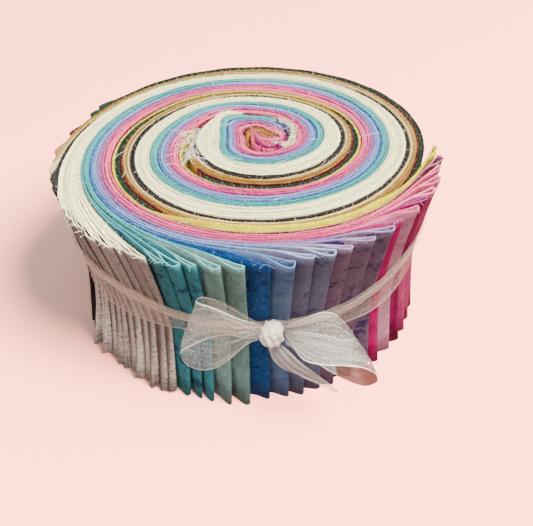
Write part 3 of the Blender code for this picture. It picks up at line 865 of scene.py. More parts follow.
@dataclass
class Winding:
    """Where every layer of every strip lies, at the rim, the waist and the foot.

    The layers are numbered outwards from the inner layer of the last black strip. Strips are
    numbered in the order of their folded ends.
    """

    flare_power: float = 1.3
    foot_leaving: float = 4.6
    least_pitch: float = 0.165
    pairing: float = 0.8
    uneven: float = 0.07
    rim_loop: float = 8.5
    foot_loop: float = 4.4
    fan_step: float = 1.5
    waist_from: float = 36.0
    edge_thickness: tuple[float, float] = (0.13, 0.44)
    angles: np.ndarray = field(init=False)
    ends: list[FoldedEnd] = field(init=False)
    starts: list[float] = field(init=False)
    radii: dict[str, np.ndarray] = field(init=False)
    room: np.ndarray = field(init=False)

    def __post_init__(self) -> None:
        """Read the tables and settle every layer."""
        self.angles = np.arange(GRID_START, GRID_END + GRID_STEP, GRID_STEP)
        self.ends = list(self.read_ends())
        self.starts = [self.start_angle(strip) for strip in range(STRIP_COUNT)]
        self.settle()

    @staticmethod
    def read_ends() -> Iterator[FoldedEnd]:
        """Place every folded end, with small differences from one to the next.

        Returns:
            The ends in their order round the roll.
        """
        strip = 0
        for colour, count, first, last, top, foot, leaving, lift, out in ENDS:
            for number in range(count):
                share = number / (count - 1) if count > 1 else 0.0
                jitter = 0.25 * math.sin(8.3 * strip) if colour == "white" else 0.0
                strip += 1
                vary = 1.0 + 0.35 * math.sin(3.7 * strip)
                yield FoldedEnd(colour, number + 1, first + (last - first) * share + jitter,
                                top * vary, foot * (2.0 - vary),
                                leaving * (1.0 + 0.015 * math.sin(2.3 * strip)),
                                lift * (0.5 + 0.5 * math.sin(4.9 * strip)), out)

    def base(self, angle: np.ndarray, share: float) -> np.ndarray:
        """Radius at the rim of a place in the winding, before the ends flare.

        Args:
            angle: Angles along the winding.
            share: 0 at the black strips, 1 at the outside of the white ones.

        Returns:
            Radii in millimetres.
        """
        table = np.array(WINDING, float)
        black, dark, pale = curve_through(table[:, 0], table[:, 1:], angle).T
        if share <= DARK_SHARE:
            return black + (dark - black) * share / DARK_SHARE
        if share <= PALE_SHARE:
            return dark + (pale - dark) * (share - DARK_SHARE) / (PALE_SHARE - DARK_SHARE)
        after = curve_through(table[:, 0], table[:, 1], angle + FULL_TURN)
        return pale + (after - pale) * (share - PALE_SHARE) / (1.0 - PALE_SHARE)

    def start_angle(self, strip: int) -> float:
        """Angle where a strip begins, half its flat length back from its fold.

        Args:
            strip: Number of the strip.

        Returns:
            The angle, which no strip may pass beside the core.
        """
        end = self.ends[strip]
        if end.colour in DARK_STARTS:
            return DARK_STARTS[end.colour] + 4.0 * (end.number - 1)
        share = (STRIP_COUNT - 1 - strip + 0.5) / STRIP_COUNT
        angle = np.arange(GRID_START, end.tip, 1.0)
        length = np.cumsum((self.base(angle, share) * math.radians(1.0))[::-1])[::-1]
        inside = np.nonzero(length <= STRIP_LENGTH / 2.0)[0]
        start = float(angle[inside[0]]) if len(inside) else GRID_START
        return max(start, PALE_STARTS.get(end.colour, GRID_START) + 5.0 * math.sin(2.9 * strip))

    def outermost(self, angle: np.ndarray) -> np.ndarray:
        """Radius of the outermost wound strip.

        Args:
            angle: Angles along the winding.

        Returns:
            Radii in millimetres, those of the last turn.
        """
        tips = np.array([LAST_TURN] + [end.tip for end in self.ends])
        shares = np.array([1.0] + [(STRIP_COUNT - strip) / STRIP_COUNT
                                   for strip in range(STRIP_COUNT)])
        turned = (angle - LAST_TURN) % FULL_TURN + LAST_TURN
        share = np.interp(turned, tips, shares)
        steps = 20
        table = np.array([self.base(turned, step) for step in np.linspace(0.0, 1.0, steps + 1)])
        place = np.clip(share * steps, 0.0, steps - 0.001)
        row = place.astype(int)
        column = np.arange(len(turned))
        return table[row, column] + (table[row + 1, column] - table[row, column]) * (place - row)

    def settle(self) -> None:
        """Work out the radii of every layer and push apart any that would meet."""
        angle = self.angles
        outer = self.outermost(angle)
        waist_move = read_round(GIRTH, 2, angle) - outer
        turned = (angle - LAST_TURN) % FULL_TURN + LAST_TURN
        out = np.interp(turned, [end.tip for end in self.ends], [end.out for end in self.ends])
        foot_move = read_round(GIRTH, 3, angle) - out - outer
        layers = {name: np.full((2 * STRIP_COUNT, len(angle)), np.nan)
                  for name in ("rim", "waist", "foot")}
        for strip, end in enumerate(self.ends):
            here = np.array([end.tip])
            present = (angle >= self.starts[strip]) & (angle <= end.tip)
            order = STRIP_COUNT - 1 - strip
            back = np.maximum(end.tip - angle, 0.0)
            flare = np.exp(-(back / end.leaving) ** self.flare_power)
            foot_flare = np.exp(-(back / self.foot_leaving) ** 1.5)
            for side in (0, 1):
                layer = 2 * order + side
                if end.colour == "white":
                    later = (1 - side) * self.fan_step
                    flare = np.exp(-((back + later) / end.leaving) ** self.flare_power)
                share = (2 * order + 1 + (side - 0.5) * self.pairing) / (2 * STRIP_COUNT)
                base = self.base(angle, share) + self.uneven * math.sin(2.1 * strip) * np.sin(
                    np.radians(angle) * 0.9 + 1.7 * strip)
                depth = ease((base - self.waist_from) / (outer - self.waist_from), 0.0, 1.0)
                reach = float(read_round(GIRTH, 1, here)[0] - self.base(here, share)[0])
                reach += 0.2 * math.sin(5.7 * strip)
                away = back * math.radians(1.0) * base
                loop = self.loop_width(away, self.rim_loop) * side
                low_loop = self.loop_width(away, self.foot_loop) * side
                layers["rim"][layer] = np.where(
                    present, base + max(0.3, reach - 0.5) * flare + loop * end.open_top,
                    np.nan)
                layers["waist"][layer] = np.where(
                    present, base + waist_move * depth + 0.5 * flare
                    + loop * (0.12 * end.open_top + 0.1 * end.open_foot), np.nan)
                layers["foot"][layer] = np.where(
                    present, base + foot_move * depth + end.out * foot_flare
                    + low_loop * end.open_foot, np.nan)
        for name in layers:
            self.push_apart(layers[name])
        self.radii = layers
        self.room = self.gaps(layers["rim"])

    @staticmethod
    def loop_width(back: np.ndarray, length: float) -> np.ndarray:
        """How far a fold stands open, as a share of its widest, at distances back from its tip."""
        share = np.clip(back / length, 0.0, 1.0)
        return 2.9 * (1.0 - share) ** 1.5 * np.sqrt(share)

    def push_apart(self, layers: np.ndarray) -> None:
        """Keep every layer outside the one that it lies on.

        Args:
            layers: Radii by layer and angle, changed in place.
        """
        for _, _, row, here, floor in self.walk(layers, -1.0):
            row[here] = np.maximum(row[here], floor[here] + self.least_pitch)

    @staticmethod
    def walk(layers: np.ndarray, ground: float
             ) -> Iterator[tuple[int, int, np.ndarray, np.ndarray, np.ndarray]]:
        """Go outwards through the layers, a turn at a time.

        Args:
            layers: Radii by layer and angle.
            ground: Radius under the innermost layer.

        Returns:
            For each layer of each turn: its number, the number of its first angle, its radii,
            where it has any, and the radii of what it lies on.
        """
        under = np.full(TURN_STEPS, ground)
        for first in range(0, layers.shape[1], TURN_STEPS):
            block = layers[:, first:first + TURN_STEPS]
            floor = under[:block.shape[1]]
            for layer, row in enumerate(block):
                here = ~np.isnan(row)
                yield layer, first, row, here, floor
                floor[here] = row[here]

    @staticmethod
    def gaps(layers: np.ndarray) -> np.ndarray:
        """Distance from every layer to the nearer of the two that it lies between.

        Args:
            layers: Radii by layer and angle.

        Returns:
            Distances in millimetres, by layer and angle.
        """
        below = np.full(layers.shape, np.nan)
        for layer, first, row, here, floor in Winding.walk(layers, -9.0):
            below[layer, first:first + len(row)][here] = row[here] - floor[here]
        above = np.full(layers.shape, np.nan)
        above[:-1] = below[1:]
        above[-1, :-TURN_STEPS] = below[0, TURN_STEPS:]
        return np.fmin(below, above)

    def top_thickness(self, layer: int, angle: np.ndarray) -> np.ndarray:
        """Thickness of a layer's frayed upper edge, which spreads into the room it has."""
        return np.clip(self.read(self.room, layer, angle), *self.edge_thickness)

    def outside(self, name: str, angle: np.ndarray) -> np.ndarray:
        """Radius of the outermost layer at angles, carried straight across the hollows.

        Args:
            name: "rim", "waist" or "foot".
            angle: Angles in degrees.

        Returns:
            Radii in millimetres.
        """
        first = len(self.angles) - TURN_STEPS - int(8.0 / GRID_STEP)
        most = np.nanmax(self.radii[name][:, first:first + TURN_STEPS], axis=0)
        reach = int(5.0 / GRID_STEP)
        around = np.arange(TURN_STEPS)
        for window in (np.max, np.mean):
            near = most[(around[:, None] + np.arange(-reach, reach + 1)[None]) % TURN_STEPS]
            most = window(near, axis=1)
        place = (np.asarray(angle, float) - self.angles[first]) / GRID_STEP % TURN_STEPS
        return np.interp(place, np.arange(TURN_STEPS + 1), np.append(most, most[0]))

    def radius(self, name: str, layer: int, angle: np.ndarray) -> np.ndarray:
        """Radius of a layer at the rim, waist or foot.

        Args:
            name: "rim", "waist" or "foot".
            layer: Number of the layer.
            angle: Angles along the winding.

        Returns:
            Radii in millimetres.
        """
        return self.read(self.radii[name], layer, angle)

    def read(self, table: np.ndarray, layer: int, angle: np.ndarray) -> np.ndarray:
        """Read a layer's row of a table at angles along the winding."""
        row = table[layer]
        here = ~np.isnan(row)
        return np.interp(angle, self.angles[here], row[here])


@dataclass
class StripRoll:
    """The forty folded strips, each one closed sheet wound from its two raw ends to its fold."""

    winding: Winding
    cloth_thickness: float = 0.15
    fold_thickness: float = 0.3
    core_gap: float = 0.17
    levels: tuple[float, ...] = (0.0, 8.0, 18.0, 28.0, 38.0, 50.0, 60.0, 63.5)
    step_length: float = 3.4
    widest_step: float = 6.0
    tip_steps: tuple[float, ...] = (7.6, 6.2, 5.0, 3.9, 2.9, 2.0, 1.3, 0.75, 0.35, 0.12, 0.02)
    fold_parts: tuple[float, ...] = (-54.0, -18.0, 18.0, 54.0)
    fold_from: float = 6.0
    fold_to: float = 26.0
    finishes: dict[str, bpy.types.Material] = field(default_factory=dict)
    pieces: list[bpy.types.Object] = field(default_factory=list)
    edge_lines: list[tuple[np.ndarray, str]] = field(default_factory=list)

    def build(self) -> None:
        """Make every strip and the beginnings that are folded into the core."""
        for name, cotton in COTTONS.items():
            self.finishes[name] = cotton.make(name)
        for strip in range(STRIP_COUNT):
            self.build_strip(strip)
        for row in CORE_FOLDS:
            self.build_core_fold(*row)

    def stations(self, strip: int) -> np.ndarray:
        """Angles of the cross-sections of one layer of a strip, closer together at the fold.

        Args:
            strip: Number of the strip.

        Returns:
            Rising angles along the winding.
        """
        tip, angle = self.winding.ends[strip].tip, self.winding.starts[strip]
        layer = 2 * (STRIP_COUNT - 1 - strip)
        tip_radius = self.winding.radius("rim", layer, np.array([tip]))[0]
        near = math.degrees(self.tip_steps[0] / tip_radius)
        places = [angle]
        while angle < tip - near - 1.0:
            radius = self.winding.radius("rim", layer, np.array([angle]))[0]
            angle += min(self.widest_step, math.degrees(self.step_length / max(radius, 1.0)))
            places.append(min(angle, tip - near - 0.5))
        places += [tip - math.degrees(step / tip_radius) for step in self.tip_steps]
        return np.unique(np.array(places))

    def top_height(self, strip: int, angle: np.ndarray) -> np.ndarray:
        """Height of a strip's upper edge along the winding.

        Args:
            strip: Number of the strip.
            angle: Angles along the winding.

        Returns:
            Heights in millimetres.
        """
        colour, tip = self.winding.ends[strip].colour, self.winding.ends[strip].tip
        inner, front = EDGE_HEIGHTS.get(colour, (0.0, 0.0))
        height = STRIP_WIDTH - 0.2 + 0.24 * math.sin(5.1 * strip) + 0.14 * math.sin(
            12.7 * strip + 1.0)
        for tall, pace, shift in EDGE_WAVES:
            height = height + tall * np.sin(np.radians(angle) * pace + strip * shift)
        begin = -110.0 if colour == "white" else -135.0
        turned = ease(angle, begin, begin + 25.0) * (1.0 - ease(angle, -40.0, -10.0))
        height = height + inner * (1.0 - ease(angle, begin, begin + 25.0)) + front * turned
        if colour == "white":
            height = height + 0.6 * math.sin(9.1 * strip) * ease(angle, tip - 5.0, tip)
        if colour == "green":
            height = height + 0.4 * ease(angle, -10.0, 15.0) * (1.0 - ease(angle, 120.0, 165.0))
        return height

    def lean(self, strip: int, angle: np.ndarray) -> np.ndarray:
        """How far the top few millimetres of a strip lean inwards."""
        if self.winding.ends[strip].colour != "yellow":
            return np.zeros_like(angle)
        return 1.7 * ease(angle, -130.0, -105.0) * (1.0 - ease(angle, -50.0, -30.0))

    def centre_line(self, strip: int) -> tuple[np.ndarray, np.ndarray, np.ndarray]:
        """Centre of the cloth of a strip, from one raw end round the fold to the other.

        Args:
            strip: Number of the strip.

        Returns:
            Points by level and station in millimetres, distance along the strip, and the angle
            of every station.
        """
        angle = self.stations(strip)
        inner = 2 * (STRIP_COUNT - 1 - strip)
        radii = [[self.winding.radius(name, inner + side, angle)
                  for name in ("rim", "waist", "foot")] for side in (0, 1)]
        top = self.top_height(strip, angle)
        tip = self.winding.ends[strip].tip
        lifted = self.winding.ends[strip].lift * ease(angle, tip - 6.0, tip)
        end = math.radians(angle[-1])
        lines = []
        for level in self.levels:
            inside, outside = (profile(side, level) for side in radii)
            if level == self.levels[-1]:
                lean = self.lean(strip, angle)
                inside, outside = inside - lean, outside - lean
            height = level * top / STRIP_WIDTH + max(0.0, 1.0 - level / 8.0) * lifted
            inner_line, outer_line = (round_line(radius, angle, height)
                                      for radius in (inside, outside))
            middle = (inner_line[-1] + outer_line[-1]) / 2.0
            half = (outside[-1] - inside[-1]) / 2.0
            arc = []
            for part in np.radians(self.fold_parts):
                ahead, out = math.cos(part) * half, math.sin(part) * half
                arc.append(middle + np.array([-math.sin(end) * ahead + math.cos(end) * out,
                                              math.cos(end) * ahead + math.sin(end) * out, 0.0]))
            lines.append(np.concatenate([inner_line, np.array(arc), outer_line[::-1]]))
        points = np.array(lines)
        along = lengths(points[-2, :, :2])
        turned = np.concatenate([angle, np.full(len(arc), angle[-1]), angle[::-1]])
        return points, along, turned

    def sheet_mesh(self, name: str, points: np.ndarray, along: np.ndarray, tone: float,
                   offset: float, material: bpy.types.Material, top: np.ndarray
                   ) -> bpy.types.Object:
        """Give a cloth's centre surface its thickness and close it all round.

        Args:
            name: Name of the piece.
            points: Centre points by level and station in millimetres.
            along: Distance along the cloth at every station.
            tone: Shade of this strip among those of its colour, from 0 to 1.
            offset: Where on the bolt the strip was cut, in millimetres.
            material: Finish.
            top: Thickness of the upper edge at every station.

        Returns:
            The piece.
        """
        levels, stations = points.shape[:2]
        ahead = unit(np.gradient(points[:, :, :2], axis=1))
        thick = np.full((levels, stations), self.cloth_thickness)
        thick[-1] = top
        aside = np.stack([-ahead[..., 1], ahead[..., 0]], -1) * thick[..., None] / 2.0
        left, right = points.copy(), points.copy()
        left[..., :2] += aside
        right[..., :2] -= aside
        grid = np.arange(levels * stations).reshape(levels, stations)
        other = grid + levels * stations

        def quads(a: np.ndarray, b: np.ndarray, c: np.ndarray, d: np.ndarray) -> np.ndarray:
            """Rows of four point numbers from four equal arrays."""
            return np.stack([a.ravel(), b.ravel(), c.ravel(), d.ravel()], -1)

        right_side = quads(other[:-1, :-1], other[:-1, 1:], other[1:, 1:], other[1:, :-1])
        left_side = quads(grid[:-1, :-1], grid[1:, :-1], grid[1:, 1:], grid[:-1, 1:])
        upper = quads(other[-1, :-1], other[-1, 1:], grid[-1, 1:], grid[-1, :-1])
        lower = quads(other[0, :-1], grid[0, :-1], grid[0, 1:], other[0, 1:])
        begin = quads(grid[:-1, 0], other[:-1, 0], other[1:, 0], grid[1:, 0])
        finish = quads(other[:-1, -1], grid[:-1, -1], grid[1:, -1], other[1:, -1])
        faces = np.concatenate([right_side, left_side, upper, lower, begin, finish])
        flat = np.zeros(len(faces), bool)
        flat[len(right_side) + len(left_side):] = True
        width = np.broadcast_to(np.array(self.levels)[:, None], (levels, stations))
        length = np.broadcast_to(along[None, :] + offset, (levels, stations))
        uvs = np.stack([length.ravel(), width.ravel()], -1) * MM
        both = np.concatenate([left.reshape(-1, 3), right.reshape(-1, 3)]) * MM
        piece = mesh_object(name, both, faces, np.concatenate([uvs, uvs]), material, flat)
        set_number(piece, "tone", np.full(len(both), tone))
        return piece

    def build_strip(self, strip: int) -> None:
        """Make one strip and hide the CAD nodes that it stands for.

        Args:
            strip: Number of the strip.
        """
        colour, number = self.winding.ends[strip].colour, self.winding.ends[strip].number
        points, along, turned = self.centre_line(strip)
        tone = 0.5 + 0.5 * math.sin(7.3 * strip + 0.4)
        folded = len(self.fold_parts)
        inner, half = 2 * (STRIP_COUNT - 1 - strip), (len(turned) - folded) // 2
        top = np.concatenate([
            self.winding.top_thickness(inner, turned[:half]),
            np.full(folded, self.fold_thickness),
            self.winding.top_thickness(inner + 1, turned[half + folded:])])
        piece = self.sheet_mesh(f"strip_{colour}_{number}", points, along, tone, 137.0 * strip,
                                self.finishes[colour], top)
        away = np.abs(along - (along[half] + along[half + folded - 1]) / 2.0)
        fold = 1.0 - ease(away, self.fold_from, self.fold_to)
        set_number(piece, "fold", np.tile(fold, 2 * len(self.levels)))
        set_number(piece, "wear", np.tile(self.wear(strip, turned, half), 2 * len(self.levels)))
        # The crease attribute carries the painted shade under the rim and in the gaps.
        set_number(piece, "crease", np.tile(self.crease(colour, away), 2))
        claim(piece, colour, f"{colour}_end_{number}", "wound_roll")
        self.pieces.append(piece)
        self.edge_lines.append((points[-1], colour))

    @staticmethod
    def wear(strip: int, turned: np.ndarray, half: int) -> np.ndarray:
        """How worn and pale each layer's raw edge is, which changes slowly along it.

        Args:
            strip: Number of the strip.
            turned: Angle of every station.
            half: Number of stations in a layer.

        Returns:
            Values from 0 to 1.
        """
        start = np.where(np.arange(len(turned)) < half + 2, 0.7, 4.3)
        return 0.5 + 0.5 * np.sin(11.3 * strip + start + 0.8 * np.sin(
            np.radians(turned) * 1.7 + 2.0 * strip))

    def crease(self, colour: str, away: np.ndarray) -> np.ndarray:
        """How much shade is painted onto every point of a fold, under the rim and in the gaps.

        Args:
            colour: Colour of the strip.
            away: Distance from the fold at every station, in millimetres.

        Returns:
            Values from 0 to 1, by level and station.
        """
        height = np.array(self.levels)[:, None]
        under = PAINTED_RIM_SHADE.get(colour, 0.0) * ease(height, 24.0, 42.0)
        under = under * (1.0 - 0.6 * ease(away, 9.0, 16.0))
        gap = PAINTED_GAP_SHADE.get(colour, 0.0) * ease(away, 0.5, 2.3)[None]
        gap = gap * (1.0 - ease(height, 44.0, 58.0))
        return np.maximum(under, gap).ravel()

    def build_core_fold(self, name: str, colour: str, sink: float,
                        route: Sequence[tuple[float, float]]) -> None:
        """Make the beginning of a strip that is folded into the core.

        Args:
            name: Name of the piece.
            colour: Cotton that it is cut from.
            sink: How far its top lies below the others.
            route: Places of its middle, x and y.
        """
        corners = np.array(route, float)
        places = lengths(corners)
        line = curve_through(places, corners, np.arange(0.0, places[-1], 0.6))
        ahead = unit(np.gradient(line, axis=0)) * self.core_gap
        aside = np.stack([-ahead[:, 1], ahead[:, 0]], -1)
        there, back = line - aside, line + aside
        end = line[-1] + ahead[-1]
        path = np.concatenate([there, end[None], back[::-1]])
        heights = np.array(self.levels) * (STRIP_WIDTH - sink - 0.4) / STRIP_WIDTH
        points = np.array([np.column_stack([path, np.full(len(path), height)])
                           for height in heights])
        along = lengths(path)
        piece = self.sheet_mesh(name, points, along, 0.6, 0.0, self.finishes[colour],
                                np.full(len(path), self.fold_thickness))
        claim(piece, colour, "wound_roll")
        self.pieces.append(piece)
        self.edge_lines.append((points[-1], colour))


class ThreadTree:
    """Geometry Nodes that turn lines into short fibres or into round threads."""

    def __init__(self, name: str, **inputs: float) -> None:
        """Start a tree with an input for the lines, one for the finish, and numbers.

        Args:
            name: Name of the tree.
            inputs: Name and default of each number; a whole number makes a whole-number input.
        """
        self.tree = bpy.data.node_groups.new(name, "GeometryNodeTree")
        kinds = {"Lines": "Geometry", "Finish": "Material"}
        kinds |= {label: "Int" if isinstance(value, int) else "Float"
                  for label, value in inputs.items()}
        self.tree.interface.new_socket(name="Geometry", in_out="OUTPUT",
                                       socket_type="NodeSocketGeometry")
        for label, kind in kinds.items():
            made = self.tree.interface.new_socket(name=label, in_out="INPUT",
                                                  socket_type="NodeSocket" + kind)
            if label in inputs:
                made.default_value = inputs[label]
        self.bench = NodeBench(self.tree)
        self.given = self.bench.add("NodeGroupInput").outputs
        self.curve = self.bench.add("GeometryNodeMeshToCurve",
                                    Mesh=self.given["Lines"]).outputs[0]

    def chance(self, later: int, low: object, high: object) -> bpy.types.NodeSocket:
        """Random number or vector for every point.

        Args:
            later: How far its seed lies after the tree's own.
            low: Least value.
            high: Greatest value.

        Returns:
            The value's socket.
        """
        vector = isinstance(low, tuple)
        node = self.bench.add("FunctionNodeRandomValue",
                              {"data_type": "FLOAT_VECTOR" if vector else "FLOAT"},
                              Seed=self.bench.plus(self.given["Seed"], float(later)))
        first = 0 if vector else 2
        node.inputs[first].default_value = low
        node.inputs[first + 1].default_value = high
        return node.outputs[0 if vector else 1]

    def move(self, geometry: bpy.types.NodeSocket, way: bpy.types.NodeSocket, far: object
             ) -> bpy.types.NodeSocket:
        """Move points by a vector times a number.

        Args:
            geometry: What holds the points.
            way: The vector.
            far: The number.

        Returns:
            The moved geometry's socket.
        """
        offset = self.bench.add("ShaderNodeVectorMath", {"operation": "SCALE"}, Scale=far)
        self.bench.feed(offset.inputs[0], way)
        return self.bench.add("GeometryNodeSetPosition", Geometry=geometry,
                              Offset=offset.outputs[0]).outputs[0]

    def tube(self, curve: bpy.types.NodeSocket, across: object, sides: int) -> bpy.types.Node:
        """Give a curve a round section.

        Args:
            curve: The curve.
            across: Its thickness.
            sides: How many sides the section has.

        Returns:
            The node that makes the mesh.
        """
        ring = self.bench.add("GeometryNodeCurvePrimitiveCircle", {"mode": "RADIUS"},
                              Resolution=sides, Radius=self.bench.times(across, 0.5))
        return self.bench.add("GeometryNodeCurveToMesh", Curve=curve,
                              Profile_Curve=ring.outputs[0])

    def finish(self, geometry: bpy.types.NodeSocket) -> bpy.types.NodeTree:
        """Make all instances real, dress them and give them out.

        Args:
            geometry: What the tree has made.

        Returns:
            The finished tree.
        """
        real = self.bench.add("GeometryNodeRealizeInstances", Geometry=geometry)
        dressed = self.bench.add("GeometryNodeSetMaterial", Geometry=real.outputs[0],
                                 Material=self.given["Finish"])
        self.bench.add("NodeGroupOutput", Geometry=dressed.outputs[0])
        return self.tree

    @classmethod
    def fibres(cls) -> bpy.types.NodeTree:
        """Short bent fibres that stand out of raw edges.

        Returns:
            The node tree.
        """
        grown = cls("edge_fibres", Spacing=0.003, Length=0.001, Thickness=0.00006,
                    Spread=0.0002, Seed=3)
        bench, given = grown.bench, grown.given
        dots = bench.add("GeometryNodeCurveToPoints", {"mode": "LENGTH"}, Curve=grown.curve,
                         Length=given["Spacing"])
        moved = grown.move(dots.outputs["Points"],
                           grown.chance(0, (-1.0, -1.0, -0.5), (1.0, 1.0, 0.2)),
                           given["Spread"])
        rod = bench.add("GeometryNodeCurvePrimitiveBezierSegment", {"mode": "POSITION"},
                        Resolution=3, Start=(0.0, 0.0, -0.3), Start_Handle=(0.0, 0.0, 0.3),
                        End_Handle=(0.25, 0.0, 0.7), End=(0.55, 0.1, 0.9))
        slender = bench.math("DIVIDE", given["Thickness"], given["Length"])
        hair = grown.tube(rod.outputs[0], slender, 3)
        placed = bench.add("GeometryNodeInstanceOnPoints", Points=moved,
                           Instance=hair.outputs[0],
                           Rotation=grown.chance(1, (-1.25, -1.25, 0.0), (1.25, 1.25, 6.283)),
                           Scale=bench.times(grown.chance(2, 0.35, 1.5), given["Length"]))
        return grown.finish(placed.outputs[0])

    @classmethod
    def threads(cls) -> bpy.types.NodeTree:
        """Long loose threads that curl along given lines.

        Returns:
            The node tree.
        """
        grown = cls("stray_threads", Thickness=0.00018, Curl=0.0006, Seed=5)
        bench, given = grown.bench, grown.given
        fine = bench.add("GeometryNodeResampleCurve", {"mode": "COUNT"}, Curve=grown.curve,
                         Count=12)
        curls = bench.add("ShaderNodeTexNoise", {"noise_dimensions": "4D"}, Scale=260.0,
                          Detail=1.0, W=bench.times(given["Seed"], 3.7),
                          Vector=bench.add("GeometryNodeInputPosition").outputs[0])
        centred = bench.add("ShaderNodeVectorMath", {"operation": "SUBTRACT"})
        bench.feed(centred.inputs[0], curls.outputs["Color"])
        centred.inputs[1].default_value = (0.5, 0.5, 0.5)
        bent = grown.move(fine.outputs[0], centred.outputs[0], bench.times(given["Curl"], 4.0))
        tube = grown.tube(bent, given["Thickness"], 4)
        tube.inputs["Fill Caps"].default_value = True
        return grown.finish(tube.outputs[0])


def grow(name: str, lines: bpy.types.Object, tree: bpy.types.NodeTree,
         values: dict[str, object]) -> bpy.types.Object:
    """Run a node tree on an object and keep the result as a plain mesh.

    Args:
        name: Name of the result.
        lines: Object that carries the lines.
        tree: The node tree.
        values: Values of the tree's named inputs.

    Returns:
        The finished piece.
    """
    modifier = lines.modifiers.new(tree.name, "NODES")
    modifier.node_group = tree
    sockets = {item.name: item.identifier for item in tree.interface.items_tree
               if item.item_type == "SOCKET" and item.in_out == "INPUT"}
    for label, value in values.items():
        modifier[sockets[label]] = value
    bpy.context.view_layer.update()
    graph = bpy.context.evaluated_depsgraph_get()
    mesh = bpy.data.meshes.new_from_object(
        lines.evaluated_get(graph), preserve_all_data_layers=True, depsgraph=graph)
    lines.modifiers.remove(modifier)
    bpy.data.objects.remove(lines)
    mesh.name = name
    return add_object(name, mesh)


def line_object(name: str, lines: Sequence[np.ndarray], tints: Sequence[Colour]
                ) -> bpy.types.Object:
    """Make an object of open lines, each with a colour.

    Args:
        name: Name of the object.
        lines: Points of every line in millimetres.
        tints: Colour of every line, 0 to 255.

    Returns:
        The object.
    """
    points = np.concatenate(lines) * MM
    edges, colours, first = [], [], 0
    for line, tint in zip(lines, tints):
        count = len(line)
        edges.append(np.stack([np.arange(first, first + count - 1),
                               np.arange(first + 1, first + count)], -1))
        colours.append(np.tile(np.array(linear(tint)), (count, 1)))
        first += count
    mesh = bpy.data.meshes.new(name)
    mesh.vertices.add(len(points))
    mesh.vertices.foreach_set("co", points.astype(np.float32).ravel())
    joined = np.concatenate(edges)
    mesh.edges.add(len(joined))
    mesh.edges.foreach_set("vertices", joined.astype(np.int32).ravel())
    mesh.update()
    carrier = add_object(name, mesh)
    set_colour(carrier, "tint", np.concatenate(colours))
    return carrier


